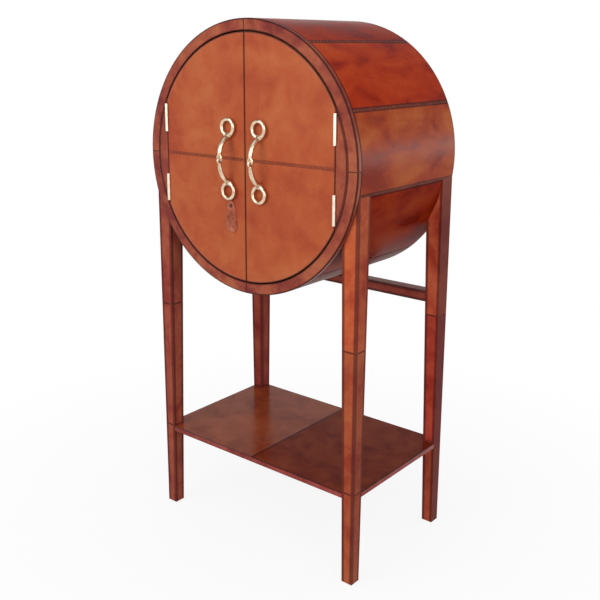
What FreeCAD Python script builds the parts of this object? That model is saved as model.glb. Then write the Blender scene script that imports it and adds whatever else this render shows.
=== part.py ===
import FreeCAD, Part
import math
import operator
import os

import Sketcher
from FreeCAD import Placement, Rotation, Vector

# A bar cabinet: a leather-clad drum, its axis front to back, on four tapered legs.
# Lengths are in millimetres and angles in degrees.
# Every piece is drawn from the centre of the drum's front face: X to the right, Y to the back,
# Z up. One placement then stands the whole cabinet on the floor.

SIZES = {
    # Drum: a bent-ply tube, closed at the back, clad in leather
    "drum_diameter": 660,
    "drum_depth": 420,
    "centre_height": 1018,
    "shell_wall": 15,
    "leather": 1.6,
    "glue_line": 0.2,
    "seam_gap": 0.6,
    "top_panel_angle": 33.35,
    "back_thickness": 12,
    # Ring round the door opening, with a spigot that fits inside the shell
    "ring_width": 28,
    "ring_depth": 12,
    "spigot_depth": 8,
    # Doors and the fixed crescents beside them
    "crescent_width": 34.3,
    "hinge_gap": 1.6,
    "door_gap": 2.8,
    "meeting_gap": 3,
    "door_thickness": 18,
    "door_seam_rise": 1.5,
    # Butt hinges
    "hinge_height": 70,
    "hinge_end_gap": 9.1,
    "barrel_radius": 4.3,
    "barrel_proud": 2,
    "barrel_relief": 0.5,
    "leaf_thickness": 1.6,
    "leaf_depth": 17,
    "leaf_play": 0.4,
    "mortise_play": 0.1,
    "knuckle_play": 0.3,
    "pin_radius": 2.2,
    "pin_play": 0.05,
    # Snaffle-bit pulls
    "pull_offset": 49.5,
    "pull_ring_rise": 77.5,
    "pull_ring_radius": 18.8,
    "pull_ring_wire": 4.2,
    "pull_ring_stand": 7.6,
    "pull_neck_slope": 55,
    "pull_reach": 36.3,
    "pull_joint_rise": 3,
    "eye_radius": 6.2,
    "eye_wire": 2.8,
    "eye_play": 0.3,
    "arm_neck_radius": 6,
    "arm_waist_radius": 4.2,
    "boss_radius": 7,
    "pull_screw_radius": 2.4,
    "pull_screw_bite": 5,
    "screw_head_radius": 4.6,
    "screw_head_height": 2.6,
    "screw_play": 0.15,
    # Leather key tab on its stud
    "stud_offset": 46,
    "stud_drop": 114,
    "tab_top_radius": 11.5,
    "tab_foot_radius": 19,
    "tab_length": 48,
    "tab_thickness": 2.4,
    "tab_play": 0.4,
    "stud_radius": 2.2,
    "stud_head_radius": 4.4,
    "stud_head_height": 1.4,
    "stud_bite": 8,
    # Lock in the left door, strike in the right door
    "lock_drop": 150,
    "lock_length": 62,
    "lock_height": 44,
    "lock_depth": 11,
    "lock_wall": 1.5,
    "bolt_length": 40,
    "bolt_height": 14,
    "bolt_depth": 6,
    "bolt_setback": 0.4,
    "bolt_throw": 8,
    "bolt_play": 0.3,
    "keyhole_radius": 2.6,
    "keyhole_slot": 9,
    "keyhole_slot_width": 2.4,
    "strike_height": 36,
    "strike_thickness": 1.5,
    # Door stops with magnets, and catch plates
    "stop_gap": 0.6,
    "stop_width": 90,
    "stop_height": 44,
    "stop_depth": 18,
    "magnet_offset": 24,
    "magnet_inset": 24,
    "magnet_radius": 7,
    "magnet_length": 9,
    "catch_gap": 0.3,
    "catch_plate_radius": 10,
    "catch_plate_thickness": 1.5,
    # Boards inside the drum
    "board_setback": 40,
    "board_thickness": 15,
    "board_play": 0.8,
    "floor_rise": 83.2,
    "shelf_rise": 85,
    "batten_height": 20,
    "batten_width": 26,
    # Legs, scribed to the drum
    "leg_top_drop": 57,
    "leg_top_width": 46,
    "leg_foot_width": 30,
    "leg_middle_seam": 600,
    "leg_lower_seam": 243,
    "glide_height": 3,
    "glide_radius": 11,
    "leg_bolt_radius": 3,
    "leg_bolt_play": 0.25,
    "leg_bolt_bite": 16,
    "leg_bolt_head_radius": 6.5,
    "leg_bolt_head_height": 4,
    "leg_bolt_upper_angle": 22.5,
    "leg_bolt_lower_angle": 28.5,
    # Lower shelf and rear rail
    "low_shelf_height": 240.5,
    "low_shelf_thickness": 15,
    "notch_play": 0.3,
    "dowel_radius": 4,
    "dowel_length": 30,
    "dowel_play": 0.1,
    "rail_gap": 26,
    "rail_thickness": 29,
    "rail_inset": 2,
    "rail_play": 0.3,
    # One overrun that carries every cut past the faces it opens
    "overrun": 5,
}

os.makedirs("parts", exist_ok=True)
doc = FreeCAD.newDocument("BarCabinet")
sheet = doc.addObject("Spreadsheet::Sheet", "Sizes")

OPERATIONS = {"+": operator.add, "-": operator.sub, "*": operator.mul, "/": operator.truediv}


class Size:
    """A value from the sheet, or one worked out from it, with the rule that gives it there."""

    def __init__(self, value, rule):
        self.value = value
        self.rule = rule

    def __add__(self, other):
        return join(self, "+", other)

    def __radd__(self, other):
        return join(other, "+", self)

    def __sub__(self, other):
        return join(self, "-", other)

    def __rsub__(self, other):
        return join(other, "-", self)

    def __mul__(self, other):
        return join(self, "*", other)

    def __rmul__(self, other):
        return join(other, "*", self)

    def __truediv__(self, other):
        return join(self, "/", other)

    def __neg__(self):
        return join(0, "-", self)


def as_size(thing):
    """Take a plain share or count as a size."""
    return thing if isinstance(thing, Size) else Size(thing, "(%r)" % thing)


def join(first, sign, second):
    """Join two sizes by an operation, in value and in rule."""
    first = as_size(first)
    second = as_size(second)
    rule = "(%s %s %s)" % (first.rule, sign, second.rule)
    return Size(OPERATIONS[sign](first.value, second.value), rule)


def root(size):
    """Square root of a size."""
    return Size(math.sqrt(size.value), "sqrt(%s)" % size.rule)


def leg_of(long_side, short_side):
    """Third side of a right triangle, from its long side and one short side."""
    return root(long_side * long_side - short_side * short_side)


def sine(angle):
    """Sine of an angle in degrees."""
    angle = as_size(angle)
    return Size(math.sin(math.radians(angle.value)), "sin(%s)" % angle.rule)


def cosine(angle):
    """Cosine of an angle in degrees."""
    angle = as_size(angle)
    return Size(math.cos(math.radians(angle.value)), "cos(%s)" % angle.rule)


def slope(rise, run):
    """Angle, in degrees, whose tangent is rise over run."""
    ratio = rise / run
    return Size(math.degrees(math.atan(ratio.value)), "(atan(%s) / 1 deg)" % ratio.rule)


for row, (word, number) in enumerate(SIZES.items(), start=1):
    sheet.set("A%d" % row, word.replace("_", " "))
    sheet.set("B%d" % row, str(number))
    sheet.setAlias("B%d" % row, word)
doc.recompute()


def size(word):
    """A driving size, by its name in the sheet."""
    return Size(float(SIZES[word]), "Sizes.%s" % word)


# Sizes that several pieces share
RADIUS = size("drum_diameter") / 2
DEPTH = size("drum_depth")
LEATHER = size("leather")
OVER = size("overrun")
SHELL_OUTER = RADIUS - LEATHER - size("glue_line")
SHELL_INNER = SHELL_OUTER - size("shell_wall")
RING_INNER = RADIUS - size("ring_width")
RING_DEPTH = size("ring_depth")
DOOR_RADIUS = RING_INNER - size("door_gap")
PANEL_BACK = LEATHER + size("door_thickness")
HALF_MEETING = size("meeting_gap") / 2
HINGE_LINE = RING_INNER - size("crescent_width")
HINGE_HALF_GAP = size("hinge_gap") / 2
FLOOR = -size("centre_height")
BOARD_DROP = SHELL_INNER - size("floor_rise")
RAIL_HEIGHT = size("centre_height") - RADIUS - size("rail_gap")
LEG_TOP = -size("leg_top_drop")
LEG_OUTER = leg_of(RADIUS, size("leg_top_drop"))
PULL_FRONT = size("pull_reach") + size("eye_radius") + size("eye_wire")
FRONT = (PULL_FRONT - DEPTH) / 2

made = []


def bind(thing, prop, value):
    """Tie one property to the rule of a size."""
    thing.setExpression(prop, as_size(value).rule)


def move(thing, x, y, z, prop="Placement.Base"):
    """Tie a place to three sizes."""
    for axis, value in zip("xyz", (x, y, z)):
        bind(thing, "%s.%s" % (prop, axis), value)


def finish(thing, node):
    """Name a finished piece after its node and stand it, with the drum, on the floor."""
    thing.Label = node
    move(thing, 0, FRONT, size("centre_height"))
    made.append(thing)
    return thing


def block(name, low, high):
    """A box from its low corner to its high corner."""
    box = doc.addObject("Part::Box", name)
    for side, start, end in zip(("Length", "Width", "Height"), low, high):
        bind(box, side, as_size(end) - as_size(start))
    move(box, *low)
    return box


def disc(name, radius, start, end, x=0, z=0):
    """A cylinder whose axis runs front to back, from one depth to another."""
    cylinder = doc.addObject("Part::Cylinder", name)
    bind(cylinder, "Radius", radius)
    bind(cylinder, "Height", as_size(end) - as_size(start))
    cylinder.Placement = Placement(Vector(), Rotation(Vector(1, 0, 0), -90))
    move(cylinder, x, start, z)
    return cylinder


def post(name, radius, x, y, low, high):
    """An upright cylinder."""
    cylinder = doc.addObject("Part::Cylinder", name)
    bind(cylinder, "Radius", radius)
    bind(cylinder, "Height", as_size(high) - as_size(low))
    move(cylinder, x, y, low)
    return cylinder


def peg(name, radius, start, end, y, z):
    """A cylinder that lies across the cabinet, from one X to another."""
    cylinder = doc.addObject("Part::Cylinder", name)
    bind(cylinder, "Radius", radius)
    bind(cylinder, "Height", as_size(end) - as_size(start))
    cylinder.Placement = Placement(Vector(), Rotation(Vector(0, 1, 0), 90))
    move(cylinder, start, y, z)
    return cylinder


def spoke(name, radius, start, end, angle, y):
    """A cylinder along a radius of the drum, at an angle below the X axis."""
    cylinder = doc.addObject("Part::Cylinder", name)
    bind(cylinder, "Radius", radius)
    bind(cylinder, "Height", end - start)
    reach = (start * cosine(angle), as_size(y), -(start * sine(angle)))
    rule = "placement(vector(%s; %s; %s); rotationy(90 + %s))"
    cylinder.setExpression("Placement", rule % tuple(part.rule for part in reach + (angle,)))
    return cylinder


def cut(name, base, tools):
    """Take one or more tools out of a piece."""
    for count, tool in enumerate(tools):
        left = doc.addObject("Part::Cut", "%s_cut%d" % (name, count))
        left.Base = base
        left.Tool = tool
        base = left
    return base


def common(name, base, tool):
    """Keep what two shapes share."""
    kept = doc.addObject("Part::Common", name + "_common")
    kept.Base = base
    kept.Tool = tool
    return kept


def fuse(name, shapes):
    """Join shapes into one."""
    joined = doc.addObject("Part::MultiFuse", name + "_fuse")
    joined.Shapes = shapes
    return joined


def group(name, shapes):
    """Keep like pieces together as separate solids of one node."""
    gathered = doc.addObject("Part::Compound", name + "_group")
    gathered.Links = shapes
    return gathered


def body(name):
    """A body for a piece that is sketched and padded."""
    return doc.addObject("PartDesign::Body", name)


def plane(owner, role):
    """One of a body's own origin planes."""
    return [feature for feature in owner.Origin.OriginFeatures if feature.Role == role][0]


def attach(owner, thing, role, offset=0):
    """Set a sketch or primitive on an origin plane, moved off it along its normal."""
    thing.AttachmentSupport = (plane(owner, role), [""])
    thing.MapMode = "FlatFace"
    bind(thing, "AttachmentOffset.Base.z", offset)


def sketch_on(owner, name, role, offset=0):
    """A sketch on an origin plane of a body."""
    sketch = owner.newObject("Sketcher::SketchObject", name)
    attach(owner, sketch, role, offset)
    return sketch


def hold(sketch, kind, *geometry):
    """Add a constraint; a size at the end ties it to its rule."""
    value = geometry[-1]
    if not isinstance(value, Size):
        return sketch.addConstraint(Sketcher.Constraint(kind, *geometry))
    index = sketch.addConstraint(Sketcher.Constraint(kind, *geometry[:-1], value.value))
    bind(sketch, "Constraints[%d]" % index, value)
    return index


def hold_point(sketch, index, end, x, y):
    """Fix a point of a sketch across and up from its origin."""
    for kind, axis, value in (("DistanceX", -2, as_size(x)), ("DistanceY", -1, as_size(y))):
        if value.value == 0:
            hold(sketch, "PointOnObject", index, end, axis)
        else:
            hold(sketch, kind, -1, 1, index, end, value)


def draw_circle(sketch, x, y, radius):
    """Draw a circle and fix its centre and radius."""
    centre = Vector(as_size(x).value, as_size(y).value, 0)
    ring = Part.Circle(centre, Vector(0, 0, 1), radius.value)
    index = sketch.addGeometry(ring, False)
    hold_point(sketch, index, 3, x, y)
    hold(sketch, "Radius", index, radius)


def draw_outline(sketch, corners):
    """Draw a closed outline of straight edges through its corners."""
    points = [Vector(as_size(x).value, as_size(y).value, 0) for x, y in corners]
    edges = []
    for start, end in zip(points, points[1:] + points[:1]):
        edges.append(sketch.addGeometry(Part.LineSegment(start, end), False))
    for edge, following in zip(edges, edges[1:] + edges[:1]):
        hold(sketch, "Coincident", edge, 2, following, 1)
    for edge, (x, y) in zip(edges, corners):
        hold_point(sketch, edge, 1, x, y)


def pad(owner, name, sketch, length, back=False):
    """Raise a sketch; back sends a front sketch towards the back of the cabinet."""
    feature = owner.newObject("PartDesign::Pad", name)
    feature.Profile = sketch
    bind(feature, "Length", length)
    feature.Reversed = back
    return feature


def revolve(owner, name, sketch):
    """Turn a side sketch about the drum's axis, which is the sketch's own across axis."""
    feature = owner.newObject("PartDesign::Revolution", name)
    feature.Profile = sketch
    feature.ReferenceAxis = (sketch, ["H_Axis"])
    feature.Angle = 360
    return feature


# The drum


def leg_bolt_places():
    """Angle, side and depth of each bolt that holds a leg to the drum."""
    inset = size("leg_top_width") / 2
    depths = (RING_DEPTH + inset, DEPTH - inset)
    angles = (size("leg_bolt_upper_angle"), size("leg_bolt_lower_angle"))
    return [(angle, side, y) for side in (1, -1) for y in depths for angle in angles]


def leg_bolt_holes():
    """Clearance holes for the leg bolts, through shell, leather and leg."""
    radius = size("leg_bolt_radius") + size("leg_bolt_play")
    holes = []
    for count, (angle, side, y) in enumerate(leg_bolt_places()):
        turn = angle if side > 0 else 180 - angle
        end = RADIUS + size("leg_bolt_bite") + size("leg_bolt_play")
        holes.append(spoke("leg_bolt_hole%d" % count, radius, SHELL_INNER - OVER, end, turn, y))
    return fuse("leg_bolt_holes", holes)


def make_leg_bolts():
    """Bolts from inside the drum into the legs, their heads against the shell."""
    bolts = []
    for count, (angle, side, y) in enumerate(leg_bolt_places()):
        turn = angle if side > 0 else 180 - angle
        head_start = SHELL_INNER - size("leg_bolt_head_height") - size("glue_line")
        head_end = SHELL_INNER - size("glue_line")
        head = spoke("bolt_head%d" % count, size("leg_bolt_head_radius"), head_start, head_end, turn, y)
        end = RADIUS + size("leg_bolt_bite")
        shank = spoke("bolt_shank%d" % count, size("leg_bolt_radius"), head_start, end, turn, y)
        bolts.append(fuse("leg_bolt%d" % count, [head, shank]))
    finish(group("leg_bolts", bolts), "leg_bolts")


def make_drum_shell(bolt_holes):
    """Bent-ply tube behind the ring."""
    tube = body("ShellTube")
    sketch = sketch_on(tube, "ShellCircles", "XZ_Plane", -RING_DEPTH)
    draw_circle(sketch, 0, 0, SHELL_OUTER)
    draw_circle(sketch, 0, 0, SHELL_INNER)
    pad(tube, "ShellPad", sketch, DEPTH - LEATHER - RING_DEPTH, back=True)
    finish(cut("drum_shell", tube, [bolt_holes]), "drum_shell")


def leather_panel(name, start, end):
    """One leather of the drum's side, between two angles up from the X axis."""
    outer = disc(name + "_outer", RADIUS, RING_DEPTH + size("seam_gap"), DEPTH - LEATHER)
    seam_angle = size("seam_gap") / RADIUS * 180 / math.pi
    bind(outer, "Angle", end - start - seam_angle)
    inner = disc(name + "_inner", RADIUS - LEATHER, 0, DEPTH + OVER)
    panel = cut(name, outer, [inner])
    turn = 360 - end + seam_angle / 2
    panel.setExpression("Placement", "placement(vector(0; 0; 0); rotationy(%s))" % turn.rule)
    return panel


def make_drum_leathers(bolt_holes):
    """Side leathers, stitched at 33 degree steps from the top down to the tops of the legs."""
    step = size("top_panel_angle")
    low = slope(LEG_TOP, LEG_OUTER)
    right = (low, 90 - step * 2, 90 - step, as_size(90))
    left = tuple(180 - angle for angle in reversed(right))
    for side, angles in (("right", right), ("left", left)):
        panels = []
        for count, (start, end) in enumerate(zip(angles, angles[1:])):
            panels.append(leather_panel("%s_leather%d" % (side, count), start, end))
        finish(group("drum_leather_" + side, panels), "drum_leather_" + side)
    span = 180 + low * 2
    panels = []
    under_shares = (0, 0.25, 0.5, 0.75, 1)
    for count, (first, last) in enumerate(zip(under_shares, under_shares[1:])):
        start = 180 - low + span * first
        panel = leather_panel("under_leather%d" % count, start, 180 - low + span * last)
        panels.append(cut("under_leather%d_holes" % count, panel, [bolt_holes]))
    finish(group("drum_leather_underside", panels), "drum_leather_underside")


def make_front_ring():
    """Rabbeted ring: its face covers the shell's end and its spigot fits inside the shell."""
    ring = body("RingCore")
    sketch = sketch_on(ring, "RingSection", "YZ_Plane")
    inner = RING_INNER + LEATHER
    spigot = SHELL_INNER - size("glue_line")
    end = RING_DEPTH + size("spigot_depth")
    draw_outline(sketch, [(LEATHER, inner), (end, inner), (end, spigot), (RING_DEPTH, spigot),
                          (RING_DEPTH, SHELL_OUTER), (LEATHER, SHELL_OUTER)])
    revolve(ring, "RingTurn", sketch)
    finish(ring, "front_ring")


def make_ring_leather():
    """Leather round the ring's face and both its edges, in quarters with butt seams."""
    wrap = body("RingWrap")
    sketch = sketch_on(wrap, "WrapSection", "YZ_Plane")
    end = RING_DEPTH + size("spigot_depth")
    inner = RING_INNER + LEATHER
    outer = RADIUS - LEATHER
    draw_outline(sketch, [(0, RING_INNER), (end, RING_INNER), (end, inner), (LEATHER, inner),
                          (LEATHER, outer), (RING_DEPTH, outer), (RING_DEPTH, RADIUS), (0, RADIUS)])
    revolve(wrap, "WrapTurn", sketch)
    half = size("seam_gap") / 2
    far = RADIUS + OVER
    upright = block("ring_seam_upright", (-half, -OVER, -far), (half, DEPTH, far))
    across = block("ring_seam_across", (-far, -OVER, -half), (far, DEPTH, half))
    finish(cut("ring_leather", wrap, [upright, across]), "ring_leather")


def make_back():
    """Ply disc let into the shell's rear end, and the leather disc that covers both."""
    start = DEPTH - LEATHER - size("back_thickness")
    panel = disc("back_disc", SHELL_INNER - size("glue_line"), start, DEPTH - LEATHER)
    finish(group("back_panel", [panel]), "back_panel")
    leather = disc("back_leather_disc", RADIUS, DEPTH - LEATHER, DEPTH)
    finish(group("back_leather", [leather]), "back_leather")


# Doors, crescents and hinges


def hinge_middle():
    """Height of a hinge's middle above or below the drum's centre."""
    end = leg_of(DOOR_RADIUS, HINGE_LINE) - size("hinge_end_gap")
    return end - size("hinge_height") / 2


def hinge_relief(side):
    """Scoops for the knuckles and mortises for the leaves of both hinges of one side."""
    radius = size("barrel_radius") + size("barrel_relief")
    half = size("hinge_height") / 2 + size("leaf_play")
    depth = size("leaf_play") / 2 + size("leaf_thickness") + size("mortise_play")
    x = HINGE_LINE * side
    scoops = []
    for level in (1, -1):
        name = "relief%s%s" % ("right" if side > 0 else "left", "upper" if level > 0 else "lower")
        middle = hinge_middle() * level
        scoops.append(post(name, radius, x, -size("barrel_proud"), middle - half, middle + half))
        scoops.append(block(name + "_mortise", (x - depth, -OVER, middle - half),
                            (x + depth, size("leaf_depth") + size("leaf_play"), middle + half)))
    return fuse("hinge_relief_%s" % ("right" if side > 0 else "left"), scoops)


def side_block(name, side, near, far, low, high):
    """A box at one side of the centre line, from a near X to a far X, its ends at two depths and heights."""
    left, right = (near, far) if side > 0 else (-far, -near)
    return block(name, (left, low[0], low[1]), (right, high[0], high[1]))


def make_crescent(side, word, relief):
    """Fixed crescent between the ring and a hinge line, with its leather face."""
    near = HINGE_LINE + HINGE_HALF_GAP
    end = RING_DEPTH + size("spigot_depth")
    round_core = disc("crescent_round_" + word, RING_INNER - size("glue_line"), LEATHER, end)
    straight = side_block("crescent_side_" + word, side, near, RADIUS, (0, -RADIUS), (DEPTH, RADIUS))
    core = common("crescent_" + word, round_core, straight)
    finish(cut("crescent_" + word, core, [relief]), "crescent_" + word)
    round_face = disc("crescent_face_" + word, RING_INNER - size("glue_line"), 0, LEATHER)
    face = common("crescent_leather_" + word, round_face, straight)
    return cut("crescent_leather_" + word, face, [relief])


def pull_screw_holes(side, word):
    """Holes through a door for the two screws of its pull."""
    radius = size("pull_screw_radius") + size("screw_play")
    rise = neck_rise()
    x = size("pull_offset") * side
    upper = disc("pull_hole_upper_" + word, radius, -OVER, PANEL_BACK + OVER, x, rise)
    lower = disc("pull_hole_lower_" + word, radius, -OVER, PANEL_BACK + OVER, x, -rise)
    return fuse("pull_holes_" + word, [upper, lower])


def catch_places(side):
    """Centres of a door's two catch plates."""
    rise = RING_INNER - size("magnet_inset")
    return [(size("magnet_offset") * side, rise), (size("magnet_offset") * side, -rise)]


def catch_recesses(side, word):
    """Recesses in a door's back for its catch plates."""
    start = PANEL_BACK - size("catch_plate_thickness")
    recesses = []
    for count, (x, z) in enumerate(catch_places(side)):
        name = "catch_recess%d_%s" % (count, word)
        recesses.append(disc(name, size("catch_plate_radius") + size("glue_line"), start,
                             PANEL_BACK + OVER, x, z))
    return fuse("catch_recesses_" + word, recesses)


def lock_box(name, grow, overrun=0):
    """The lock's outer box, grown on its sides and run out of the door's back and edge."""
    low = (-HALF_MEETING - size("lock_length") - grow, PANEL_BACK - size("lock_depth"),
           -size("lock_drop") - size("lock_height") / 2 - grow)
    high = (-HALF_MEETING + overrun, PANEL_BACK + overrun,
            -size("lock_drop") + size("lock_height") / 2 + grow)
    return block(name, low, high)


def keyhole():
    """Round hole and slot for the key, through leather, panel and lock case."""
    x = -size("stud_offset")
    z = -size("lock_drop")
    half = size("keyhole_slot_width") / 2
    front_wall = PANEL_BACK - size("lock_depth") + size("lock_wall") + size("glue_line")
    eye = disc("keyhole_eye", size("keyhole_radius"), -OVER, front_wall, x, z)
    slot = block("keyhole_slot", (x - half, -OVER, z - size("keyhole_slot")), (x + half, front_wall, z))
    return fuse("keyhole", [eye, slot])


def bolt_box(name, play, start, end):
    """The bolt's section, with some play round it, between two X."""
    middle = PANEL_BACK - size("lock_depth") / 2
    half_depth = size("bolt_depth") / 2 + play
    half_height = size("bolt_height") / 2 + play
    return block(name, (start, middle - half_depth, -size("lock_drop") - half_height),
                 (end, middle + half_depth, -size("lock_drop") + half_height))


def make_lock():
    """Lock case and sliding bolt in the left door."""
    wall = size("lock_wall")
    outside = lock_box("lock_outside", 0)
    inside = block("lock_inside",
                   (-HALF_MEETING - size("lock_length") + wall, PANEL_BACK - size("lock_depth") + wall,
                    -size("lock_drop") - size("lock_height") / 2 + wall),
                   (-HALF_MEETING - wall, PANEL_BACK - wall,
                    -size("lock_drop") + size("lock_height") / 2 - wall))
    slot = bolt_box("lock_slot", size("bolt_play"), -HALF_MEETING - wall - OVER, OVER)
    finish(cut("lock_case", outside, [inside, slot, keyhole()]), "lock_case")
    tip = -HALF_MEETING - size("bolt_setback")
    bolt = bolt_box("lock_bolt_bar", 0, tip - size("bolt_length"), tip)
    finish(group("lock_bolt", [bolt]), "lock_bolt")


def make_strike():
    """Slotted plate let into the edge of the right door."""
    middle = PANEL_BACK - size("lock_depth") / 2
    half = size("strike_height") / 2
    deep = size("lock_depth") / 2
    plate = block("strike_blank", (HALF_MEETING, middle - deep, -size("lock_drop") - half),
                  (HALF_MEETING + size("strike_thickness"), middle + deep, -size("lock_drop") + half))
    slot = bolt_box("strike_slot", size("bolt_play"), 0, HALF_MEETING + OVER)
    finish(cut("strike_plate", plate, [slot]), "strike_plate")


def strike_recess():
    """Recess for the strike plate and the pocket behind it."""
    middle = PANEL_BACK - size("lock_depth") / 2
    half = size("strike_height") / 2 + size("glue_line")
    plate = block("strike_recess", (0, middle - size("lock_depth") / 2, -size("lock_drop") - half),
                  (HALF_MEETING + size("strike_thickness"), PANEL_BACK + OVER,
                   -size("lock_drop") + half))
    deep = HALF_MEETING + size("bolt_throw") + size("strike_thickness")
    pocket = bolt_box("strike_pocket", size("bolt_play"), 0, deep)
    return fuse("strike_recess", [plate, pocket])


def make_door(side, word, relief):
    """Half-round door: a panel with an upper and a lower leather on its face."""
    far = HINGE_LINE - HINGE_HALF_GAP
    straight = side_block("door_side_" + word, side, HALF_MEETING, far, (-OVER, -RADIUS),
                          (DEPTH, RADIUS))
    holes = pull_screw_holes(side, word)
    round_panel = disc("door_round_" + word, DOOR_RADIUS, LEATHER, PANEL_BACK)
    panel = common("door_" + word, round_panel, straight)
    tools = [relief, holes, catch_recesses(side, word)]
    if side < 0:
        tools += [lock_box("lock_mortise", size("glue_line"), OVER), keyhole(), stud_hole()]
    else:
        tools += [strike_recess()]
    finish(cut("door_panel_" + word, panel, tools), "door_%s_panel" % word)
    seam = size("door_seam_rise")
    half = size("seam_gap") / 2
    for level, low, high in (("upper", seam + half, RADIUS), ("lower", -RADIUS, seam - half)):
        name = "door_%s_leather_%s" % (word, level)
        face = disc(name + "_round", DOOR_RADIUS, 0, LEATHER)
        piece = side_block(name + "_side", side, HALF_MEETING, far, (-OVER, low), (DEPTH, high))
        tools = [relief, holes]
        if side < 0 and level == "lower":
            tools += [keyhole(), stud_hole()]
        finish(cut(name, common(name, face, piece), tools), name)
    start = PANEL_BACK - size("catch_plate_thickness")
    plates = []
    for count, (x, z) in enumerate(catch_places(side)):
        name = "catch_plate%d_%s" % (count, word)
        plates.append(disc(name, size("catch_plate_radius"), start, PANEL_BACK, x, z))
    finish(group("catch_plates_" + word, plates), "door_%s_catch_plates" % word)


def make_door_stops():
    """Blocks behind the top and bottom of the doors, curved to the shell, with magnets let in."""
    start = PANEL_BACK + size("stop_gap")
    end = start + size("stop_depth")
    half = size("stop_width") / 2
    inner = SHELL_INNER - size("glue_line") - size("stop_height")
    magnet_start = PANEL_BACK + size("catch_gap")
    magnet_end = magnet_start + size("magnet_length")
    play = size("glue_line")
    blocks = []
    for name, level in (("upper", 1), ("lower", -1)):
        low, high = (inner, RADIUS) if level > 0 else (-RADIUS, -inner)
        curved = disc("stop_round_" + name, SHELL_INNER - play, start, end)
        straight = block("stop_side_" + name, (-half, 0, low), (half, DEPTH, high))
        places = [catch_places(side)[0 if level > 0 else 1] for side in (1, -1)]
        sockets = [disc("magnet_socket%d_%s" % (count, name), size("magnet_radius") + play, 0,
                        magnet_end + play, x, z) for count, (x, z) in enumerate(places)]
        blocks.append(cut("stop_" + name, common("stop_" + name, curved, straight), sockets))
    finish(group("door_stops", blocks), "door_stops")
    magnets = []
    for side in (1, -1):
        for count, (x, z) in enumerate(catch_places(side)):
            name = "magnet%d_%s" % (count, "right" if side > 0 else "left")
            magnets.append(disc(name, size("magnet_radius"), magnet_start, magnet_end, x, z))
    finish(group("catch_magnets", magnets), "catch_magnets")


KNUCKLES = 5


def make_leaf(node, side, level, fixed):
    """One leaf of a butt hinge, with every other knuckle of the barrel, bored for the pin."""
    leaf = body("Leaf" + node.replace("_", ""))
    height = size("hinge_height")
    pitch = height / KNUCKLES
    play = size("knuckle_play")
    first = 0 if fixed else 1
    count = (KNUCKLES + 1) // 2 if fixed else KNUCKLES // 2
    bottom = hinge_middle() * level - height / 2
    axis_x = HINGE_LINE * side
    axis_y = -size("barrel_proud")
    outward = side if fixed else -side
    near = axis_x + size("leaf_play") / 2 * outward
    far = near + size("leaf_thickness") * outward
    clear = axis_y + size("barrel_radius") + size("barrel_relief")
    plate = sketch_on(leaf, "LeafPlate", "XY_Plane", bottom)
    end = size("leaf_depth")
    draw_outline(plate, [(near, clear), (far, clear), (far, end), (near, end)])
    pad(leaf, "LeafPad", plate, height)
    start = bottom + pitch * first + play / 2
    tab = sketch_on(leaf, "TabOutline", "XY_Plane", start)
    draw_outline(tab, [(near, axis_y), (far, axis_y), (far, clear + play), (near, clear + play)])
    tab_pad = pad(leaf, "TabPad", tab, pitch - play)
    round_edge = sketch_on(leaf, "KnuckleCircle", "XY_Plane", start)
    draw_circle(round_edge, axis_x, axis_y, size("barrel_radius"))
    knuckle_pad = pad(leaf, "KnucklePad", round_edge, pitch - play)
    row = leaf.newObject("PartDesign::LinearPattern", "KnuckleRow")
    row.Originals = [tab_pad, knuckle_pad]
    row.Direction = (round_edge, ["N_Axis"])
    row.Occurrences = count
    bind(row, "Length", pitch * 2 * (count - 1))
    leaf.Tip = row
    bore = sketch_on(leaf, "PinBore", "XY_Plane", bottom)
    draw_circle(bore, axis_x, axis_y, size("pin_radius") + size("pin_play"))
    through = leaf.newObject("PartDesign::Pocket", "PinPocket")
    through.Profile = bore
    bind(through, "Length", height + OVER)
    through.Reversed = True
    finish(leaf, node)


def make_hinges():
    """Four butt hinges: frame leaves on the crescents, door leaves on the doors, one pin each."""
    pins = []
    for word, side in (("left", -1), ("right", 1)):
        for rank, level in (("upper", 1), ("lower", -1)):
            name = "hinge_%s_%s" % (word, rank)
            make_leaf(name + "_frame_leaf", side, level, True)
            make_leaf(name + "_door_leaf", side, level, False)
            middle = hinge_middle() * level
            half = size("hinge_height") / 2
            pins.append(post(name + "_pin", size("pin_radius"), HINGE_LINE * side,
                             -size("barrel_proud"), middle - half, middle + half))
    finish(group("hinge_pins", pins), "hinge_pins")


# Snaffle-bit pulls


def neck_rise():
    """Height at which the two sides of a pull's ring meet its arm."""
    return size("pull_ring_rise") - size("pull_ring_radius") / sine(size("pull_neck_slope"))


def eye_rise(level):
    """Height of an eye's centre; the two eyes hang in each other a little above the middle."""
    half = size("eye_radius") - size("eye_wire") - size("eye_play") / 2
    return size("pull_joint_rise") + half * level


ARM_SHARES = (0, 0.5, 1)


def place_feature(feature, owner, x, y, z, turn):
    """Set a section or primitive in its body at three sizes, turned by a rule."""
    feature.AttachmentSupport = (plane(owner, "XY_Plane"), [""])
    feature.MapMode = "FlatFace"
    places = tuple(as_size(value).rule for value in (x, y, z)) + (turn,)
    feature.setExpression("AttachmentOffset", "placement(vector(%s; %s; %s); %s)" % places)


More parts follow.
